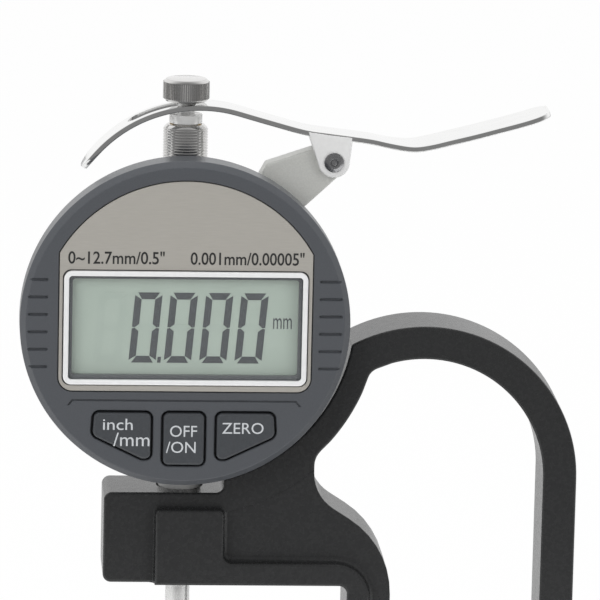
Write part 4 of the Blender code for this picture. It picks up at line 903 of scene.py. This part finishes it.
def screw_tree():
    """Sets a screw on every point, each turned by its own amount about its axis."""
    tree, given = new_tree("screws_on_points", [("Screw", "NodeSocketObject", None), ("Seed", "NodeSocketInt", 4)])
    source = node(tree, "GeometryNodeObjectInfo", {"Object": given["Screw"]})
    chance = node(tree, "FunctionNodeRandomValue", {"Max": math.pi, "Seed": given["Seed"]})
    about = node(tree, "ShaderNodeCombineXYZ", {"Y": chance.outputs[1]})
    return copied(
        tree, given["Finish"], Points=given["Shape"], Instance=source.outputs["Geometry"],
        Rotation=about.outputs["Vector"],
    )


# %% Set the four case screws
screw_low, screw_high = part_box("case_screw_1")
head_height = 0.8 * MM
screw = one_screw("screw_pattern", 1.0 * MM, 1.9 * MM, head_height, screw_high.y - screw_low.y - head_height)
points = bpy.data.meshes.new("screw_points")
points.from_pydata([(x, screw_high.y - head_height, z) for x, z in places], [], [])
screws = repeated(placed("case_screws", points), screw_tree(), Screw=screw, Seed=4, Finish=screw_steel)
bpy.data.objects.remove(screw)
shown(screws, screw_steel, [f"case_screw_{k}" for k in range(1, 5)])

# %% The two socket set screws in the back of the frame
for name, piece in (("stem_clamp_screw", "clamp_screw"), ("anvil_set_screw", "anvil_screw")):
    low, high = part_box(name)
    middle, radius, bevel = (low.z + high.z) / 2, (high.z - low.z) / 2, 0.3 * MM
    profile = [(0, low.y), (radius - bevel, low.y), (radius, low.y + bevel), (radius, high.y - bevel),
               (radius - bevel, high.y), (0, high.y)]
    headless = turned(piece, profile, (0, 0, middle), "Y", 32)
    hexagon = solid("hexagon", [circle(0, middle, 1.0 * MM, 6)], (low.y + high.y) / 2, high.y + MM)
    shown(combined(headless, hexagon), black_steel, [name])

# %% [markdown]
# ## Everything on the spindle's axis
#
# The collar, the lifting cap, the spindle, the stem and both anvils come off a lathe, so each is one turned profile.
# The collar's rings and the cap's flutes are fine: a bump could fake them, but they break up the outline against
# the light. The rings are stacked and the flutes are turned round the axis by the two trees above.

# %% Collar with its rings
collar_low, collar_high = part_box("top_collar")
foot, top = DIAL + BODY + 0.3 * MM, collar_high.z
profile = at_heights(
    (2.95, collar_low.z), (3.5, collar_low.z), (3.5, foot), (3.92, foot), (3.92, top, -0.55), (3.4, top), (2.95, top),
    (2.95, collar_low.z),
)
collar = turned("ringed_collar", softened(profile, 0.06 * MM, 2))
profile = mm((3.8, 0.04), (4.02, 0.07), (4.1, 0.17), (4.1, 0.25), (4.02, 0.35), (3.8, 0.38))
ring = turned("ring", profile, (0, 0, top - 1.1 * MM), "Z", 64, closed=True)
rings = repeated(ring, in_a_row, Count=11, Step=(0.0, 0.0, -0.51 * MM), Finish=turned_chrome)
collar = shown(combined(collar, rings, "UNION"), turned_chrome, ["top_collar"])

# %% Cap with its flutes
cap_low, cap_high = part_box("lifting_cap")
cap_radius = (cap_high.x - cap_low.x) / 2
barrel, socket, socket_top = cap_radius - 0.18 * MM, 1.8 * MM, cap_low.z + 2.7 * MM
profile = [
    (0, cap_high.z), (cap_radius - 0.6 * MM, cap_high.z), (barrel, cap_high.z - 0.5 * MM),
    (barrel, cap_low.z + 0.4 * MM), (cap_radius - 0.5 * MM, cap_low.z), (socket, cap_low.z), (socket, socket_top),
    (0, socket_top),
]
cap = turned("fluted_cap", softened(profile, 0.08 * MM, 2), steps=144)
section = mm((-0.33, -0.12), (-0.04, -0.07), (0, -0.02), (0, 0.02), (-0.04, 0.07), (-0.33, 0.12))
flute = skin("flute", [[(cap_radius + out, side, z) for out, side in section]
                       for z in (cap_low.z + 0.5 * MM, cap_high.z - 0.55 * MM)])
flutes = repeated(flute, round_an_axis, Count=72, Finish=turned_chrome)
cap = shown(combined(cap, flutes, "UNION"), turned_chrome, ["lifting_cap"], "spindle_train")

# %% Spindle, stem and anvils
rod_low, rod_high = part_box("spindle")
stem_low, stem_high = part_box("stem")
tip_low, tip_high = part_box("upper_anvil")
lower_low, lower_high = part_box("lower_anvil")
rod_foot = tip_high.z + 0.3 * MM
neck_foot = cap_low.z - 2.4 * MM
arm_gap = arm_top + 0.3 * MM
profile = at_heights(
    (0, rod_high.z), (1.6, rod_high.z), (1.6, neck_foot), (3.0, neck_foot), (3.0, neck_foot, -1.6),
    (2.25, neck_foot, -1.6), (2.25, rod_foot), (1.25, rod_foot), (1.25, rod_low.z), (0, rod_low.z),
)
spindle = turned("spindle_rod", softened(profile, 0.1 * MM, 2), steps=72)
shown(spindle, ground_steel, ["spindle"], "spindle_train")
profile = at_heights(
    (2.95, stem_high.z), (4.0, stem_high.z), (4.0, stem_low.z, 0.4), (3.6, stem_low.z), (2.95, stem_low.z),
    (2.95, stem_high.z),
)
shown(turned("stem_sleeve", softened(profile, 0.08 * MM, 2)), ground_steel, ["stem"])
profile = at_heights(
    (1.45, tip_high.z), (2.55, tip_high.z), (5.0, tip_low.z, 3.0), (5.0, tip_low.z, 0.4), (4.6, tip_low.z),
    (0, tip_low.z),
)
upper = turned("upper_tip", softened(profile, 0.12 * MM, 3))
shown(upper, ground_steel, ["upper_anvil"], "spindle_train")
profile = at_heights(
    (0, lower_high.z), (4.6, lower_high.z), (5.0, lower_high.z, -0.4), (5.0, arm_gap), (2.5, arm_gap),
    (2.5, lower_low.z), (0, lower_low.z),
)
shown(turned("lower_tip", softened(profile, 0.12 * MM, 3)), ground_steel, ["lower_anvil"])

# %% [markdown]
# ## The lifting lever
#
# The lever is one bright strip: a bow over the cap, slotted round the neck, then a long run to a wide pad for the
# finger. It could be a flat plate bent by a modifier. Here rounded cross-sections follow the strip's middle line,
# which keeps the edges even all the way and makes the bright lines that a polished edge shows. The two ears that
# hold the rivet are softer in their shine, so they are pieces of their own on the same body.

# %% The strip's middle line
pivot = Vector((27.0 * MM, 0, 130.4 * MM))
bow_x, bow_z = 2.6 * MM, DIAL + 13.0 * MM
bow_radius = 25.1 * MM
run_length = 57.05 * MM
run_knots = [
    (0.000, 0.0000), (0.104, -0.0293), (0.213, -0.0582), (0.292, -0.0696), (0.365, -0.0784), (0.429, -0.0871),
    (0.492, -0.0994), (0.560, -0.1064), (0.618, -0.0976), (0.681, -0.0819), (0.758, -0.0626), (0.835, -0.0415),
    (0.916, -0.0188), (1.000, 0.0093),
]


def through(knots, steps):
    """A smooth curve through the knots."""
    ends = [knots[0], *knots, knots[-1]]
    points = []
    for k in range(1, len(ends) - 2):
        p0, p1, p2, p3 = (Vector(p) for p in ends[k - 1 : k + 3])
        for t in (step / steps for step in range(steps)):
            point = p1 * 2 + (p2 - p0) * t + (p0 * 2 - p1 * 5 + p2 * 4 - p3) * t**2
            points.append(tuple((point + (p1 * 3 - p0 - p2 * 3 + p3) * t**3) / 2))
    return points + [knots[-1]]


bow = arc(bow_x, bow_z, bow_radius, 147.5, 74.4, 64)
lead = Vector(bow[-1])
strip_line = bow[:-1] + through([tuple(lead + Vector(knot) * run_length) for knot in run_knots], 8)
print("strip points:", len(strip_line))


# %% Its width, and the skin round it
def half_width(across, left, right):
    """Half the strip's width: a round end, straight sides, a smooth spread to the pad and a round tip."""
    narrow, wide = 3.8 * MM, 5.5 * MM
    spread_from, spread_over = 35.0 * MM, 10.0 * MM
    spread = min(1, max(0, (across - spread_from) / spread_over))
    half = narrow + (wide - narrow) * spread * spread * (3 - 2 * spread)
    for end, radius in ((across - left, 2.6 * MM), (right - across, 3.4 * MM)):
        if end < radius:
            half -= radius - math.sqrt(max(0, radius**2 - (radius - end) ** 2))
    return half


def strip_loops(line, thickness=1.0 * MM, edge=0.22 * MM):
    """Rounded cross-sections square to the line."""
    left, right = line[0][0], line[-1][0]
    h = thickness / 2
    loops = []
    for i, (x, z) in enumerate(line):
        ahead = Vector(line[min(i + 1, len(line) - 1)]) - Vector(line[max(i - 1, 0)])
        up = Vector((-ahead.y, ahead.x)).normalized()
        half = half_width(x, left, right)
        section = box_outline(-half, half, -h, h, edge, 30)
        loops.append([(x + up.x * rise, across, z + up.y * rise) for across, rise in section])
    return loops


fine_line = []
finer, first_spans, last_spans = 6, 6, 10  # the round ends need closer sections
for i, (first, second) in enumerate(zip(strip_line, strip_line[1:])):
    parts = finer if i < first_spans or i > len(strip_line) - last_spans else 1
    fine_line += [tuple(Vector(first).lerp(Vector(second), k / parts)) for k in range(parts)]
fine_line.append(strip_line[-1])
lever = skin("lift_strip", strip_loops(fine_line))

# %% The slot round the neck
reach = 2.0 * MM
neck = box_outline(-10.6 * MM, reach, -reach, reach, reach * 0.98)
lever = combined(lever, solid("neck_slot", [neck], DIAL, DIAL + 2 * CASE, from_above=True))
lever = shown(lever, strip_chrome, ["lift_lever"], "lever")


# %% Ears and rivet
def height_at(across):
    return min(strip_line, key=lambda point: abs(point[0] - across))[1]


fold, rivet_hole = 0.42 * MM, 1.4 * MM
ear = arc(pivot.x, pivot.z, 2.9 * MM, 205, 345, 24) + [
    (pivot.x + across * MM, height_at(pivot.x + across * MM) + fold) for across in (3.4, 1.7, 0, -1.7, -3.4, -5.0)
]
for which, front, rear in (("front", -3.85 * MM, -2.5 * MM), ("rear", 2.5 * MM, 3.85 * MM)):
    cheek = drilled(solid(f"{which}_ear", [ear], front, rear, 0.35 * MM, 4), rivet_hole, -clear, clear, pivot, steps=40)
    shown(cheek, ear_satin, body="lever")
profile = mm(
    (0, -4.5), (0.5, -4.5), (0.62, -4.3), (0.75, -4.5), (1.1, -4.5), (1.8, -4.15), (1.8, -3.9), (1.2, -3.9),
    (1.2, 3.9), (1.8, 3.9), (1.8, 4.15), (1.1, 4.5), (0, 4.5),
)
rivet = turned("lever_rivet", softened(profile, 0.06 * MM, 2), pivot, "Y", 48)
shown(rivet, screw_steel, ["lever_pin"], "lever")

# %% Bracket on the case's shoulder
foot = BODY + 0.3 * MM
foot_end, foot_start = 62, 42  # degrees about the dial
bracket_edge = rounded(
    arc(0, DIAL, foot, foot_end, foot_start, 12)[::-1]
    + [(*on_circle(0, DIAL, foot + 3.6 * MM, foot_end), 0.5 * MM),
       (pivot.x - 4.2 * MM, pivot.z + 2.0 * MM, 1.5 * MM)]
    + arc(pivot.x, pivot.z, 2.8 * MM, 95, -45, 24)
)
bracket = solid("lever_lug", [bracket_edge[::-1]], -2.2 * MM, 2.2 * MM, 0.45 * MM, 4)
bracket = drilled(bracket, rivet_hole, -clear, clear, pivot, steps=40)
for degrees in (54.5, 46.5):
    across, up = on_circle(0, 0, 1, degrees)
    way = Vector((across, 0, up))
    thread = rod("thread", 1.0 * MM, 0, 4.2 * MM, along="Z", steps=24)
    thread.data.transform(Matrix.Translation(Vector((0, 0, DIAL)) + way * (BODY - MM))
                          @ way.to_track_quat("Z", "Y").to_matrix().to_4x4())
    bracket = combined(bracket, thread)
shown(bracket, bracket_metal, ["lever_bracket"])

# %% [markdown]
# ## Inside
#
# The pieces inside the case are seen only when the part is taken apart. They keep their CAD shapes and get the
# finish of their own material. Only the return spring is wound anew.

# %% Finishes for the inner pieces
inside = {
    "lcd_module": display_liquid, "keypad_mat": mat_rubber, "circuit_board": board_green,
    "sensor_board": sensor_blue, "measuring_scale": scale_glass, "guide_rail": inner_plastic,
    "battery_holder": inner_plastic, "battery": cell_steel, "battery_contact": block_brass,
    "guide_block": block_brass, "guide_pin": ground_steel,
    "lower_bush": bush_brass, "upper_bush": bush_brass,
}
inner_screws = ("board_screw_1", "board_screw_2", "board_screw_3", "foot_screw_1", "foot_screw_2")
inside.update(dict.fromkeys(inner_screws, screw_steel))
for name, finish in inside.items():
    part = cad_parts[name]
    if not part.material_slots:
        part.data.materials.append(finish)
    for place in part.material_slots:
        place.material = finish
print("inner pieces dressed:", len(inside))

# %% The return spring, which shortens between the case and the guide block
spring_low, spring_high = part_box("return_spring")
wire, turns, per_turn = 0.25 * MM, 8, 24
coil_radius = (spring_high.x - spring_low.x) / 2 - wire
coil_rise = spring_high.z - spring_low.z - 2 * wire
wound = []
for k in range(turns * per_turn + 1):
    turn, height = math.tau * k / per_turn, spring_low.z + wire + coil_rise * k / (turns * per_turn)
    wound.append([((coil_radius + across) * math.cos(turn), (coil_radius + across) * math.sin(turn), height + up)
                  for across, up in circle(0, 0, wire, 8)])
coil = shown(skin("wound_spring", wound), spring_wire, ["return_spring"], None, 60)
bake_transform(coil)

# %% [markdown]
# ## Camera, floor and light
#
# The photograph was taken from far away with a long lens, a little from the left and from above. The case, the
# display and the handle all fit one camera, so its angles are written here and nothing is judged by eye.

# %% Camera
eye = Vector((-46.602, -1015.043, 312.712)) * MM
pitch, yaw, roll = (math.radians(a) for a in (11.594, 3.843, 1.290))
lens = bpy.data.cameras.new("photo_lens")
lens.sensor_width = 36.0
lens.lens = 36.0 * 5655.65 / 600  # a focal length of 5655.65 pixels in a picture of 600
lens.clip_end = 20
camera = placed("photo_camera", lens)
turn = Matrix.Rotation(-yaw, 4, "Z") @ Matrix.Rotation(math.pi / 2 - pitch, 4, "X") @ Matrix.Rotation(roll, 4, "Z")
camera.matrix_world = Matrix.Translation(eye) @ turn
bpy.context.scene.camera = camera
print("camera looks along", [round(v, 4) for v in turn.col[2].xyz * -1])

# %% Floor: white to the camera, pale to the light
def direct_rays(tree):
    """1 for what is seen straight or through the window, 0 for what lights the gauge or is mirrored in it."""
    rays = node(tree, "ShaderNodeLightPath").outputs
    seen = {0: rays["Is Camera Ray"], 1: rays["Is Transmission Ray"]}
    return node(tree, "ShaderNodeMath", seen, operation="MAXIMUM").outputs["Value"]


floor_mesh = bpy.data.meshes.new("floor")
side = 4.0
table_edge = -0.15  # further forward, the front faces would mirror it
floor_mesh.from_pydata(
    [(-side, table_edge, 0), (side, table_edge, 0), (side, side, 0), (-side, side, 0)], [], [(0, 1, 2, 3)]
)
floor = placed("floor", floor_mesh)
pale = bpy.data.materials.new("pale_floor")
pale.use_nodes = True
tree = pale.node_tree
tree.nodes.clear()
matt = node(tree, "ShaderNodeBsdfDiffuse", {"Color": (0.9, 0.9, 0.9, 1)}).outputs["BSDF"]
glow = node(tree, "ShaderNodeEmission").outputs["Emission"]
share = node(tree, "ShaderNodeMath", {0: direct_rays(tree), 1: 0.97}, operation="MULTIPLY").outputs["Value"]
blend = node(tree, "ShaderNodeMixShader", {"Fac": share, 1: matt, 2: glow})
node(tree, "ShaderNodeOutputMaterial", {"Surface": blend.outputs["Shader"]})
floor_mesh.materials.append(pale)
print(f"floor {2 * side:.0f} m wide, its front edge {-table_edge * 1000:.0f} mm in front of the gauge")

# %% World: white to the camera, dark in front of the gauge for the metal to mirror
world = bpy.data.worlds.new("studio")
bpy.context.scene.world = world
world.use_nodes = True
tree = world.node_tree
tree.nodes.clear()
way = node(tree, "ShaderNodeTexCoord").outputs["Generated"]
parts = node(tree, "ShaderNodeSeparateXYZ", {"Vector": way}).outputs
ends = {"From Min": -0.6, "From Max": 0.5, "To Min": 0.22, "To Max": 1.0}
fade = node(tree, "ShaderNodeMapRange", {"Value": parts["Y"], **ends}, interpolation_type="SMOOTHSTEP")
plain = {"Color": (1, 1, 1, 1)}
mirrored = node(tree, "ShaderNodeBackground", {**plain, "Strength": fade.outputs["Result"]}).outputs["Background"]
ambient = node(tree, "ShaderNodeBackground", {**plain, "Strength": 0.62}).outputs["Background"]
white = node(tree, "ShaderNodeBackground", plain).outputs["Background"]
in_mirror = node(tree, "ShaderNodeLightPath").outputs["Is Glossy Ray"]
lit = node(tree, "ShaderNodeMixShader", {"Fac": in_mirror, 1: ambient, 2: mirrored}).outputs["Shader"]
seen = node(tree, "ShaderNodeMixShader", {"Fac": direct_rays(tree), 1: lit, 2: white})
node(tree, "ShaderNodeOutputWorld", {"Surface": seen.outputs["Shader"]})
print("world:", len(tree.nodes), "nodes")


# %% Soft lamps
def softbox(name, place, width, height, watts):
    """A large area lamp that looks at the dial; the metal does not mirror it."""
    data = bpy.data.lights.new(name, "AREA")
    data.shape = "RECTANGLE"
    data.size, data.size_y = width, height
    data.energy = watts
    lamp = placed(name, data)
    lamp.location = place
    lamp.visible_glossy = False
    lamp.rotation_euler = (Vector((0.02, 0, DIAL)) - Vector(place)).to_track_quat("-Z", "Y").to_euler()
    print(f"{name}: {watts} W")


softbox("overhead", (0.0, 0.05, 0.95), 0.9, 0.6, 3.0)
softbox("front_left", (-0.55, -0.75, 0.55), 0.5, 0.5, 3.6)
softbox("front_right", (0.6, -0.6, 0.3), 0.3, 0.6, 1.2)
bpy.context.scene.view_settings.view_transform = "Standard"
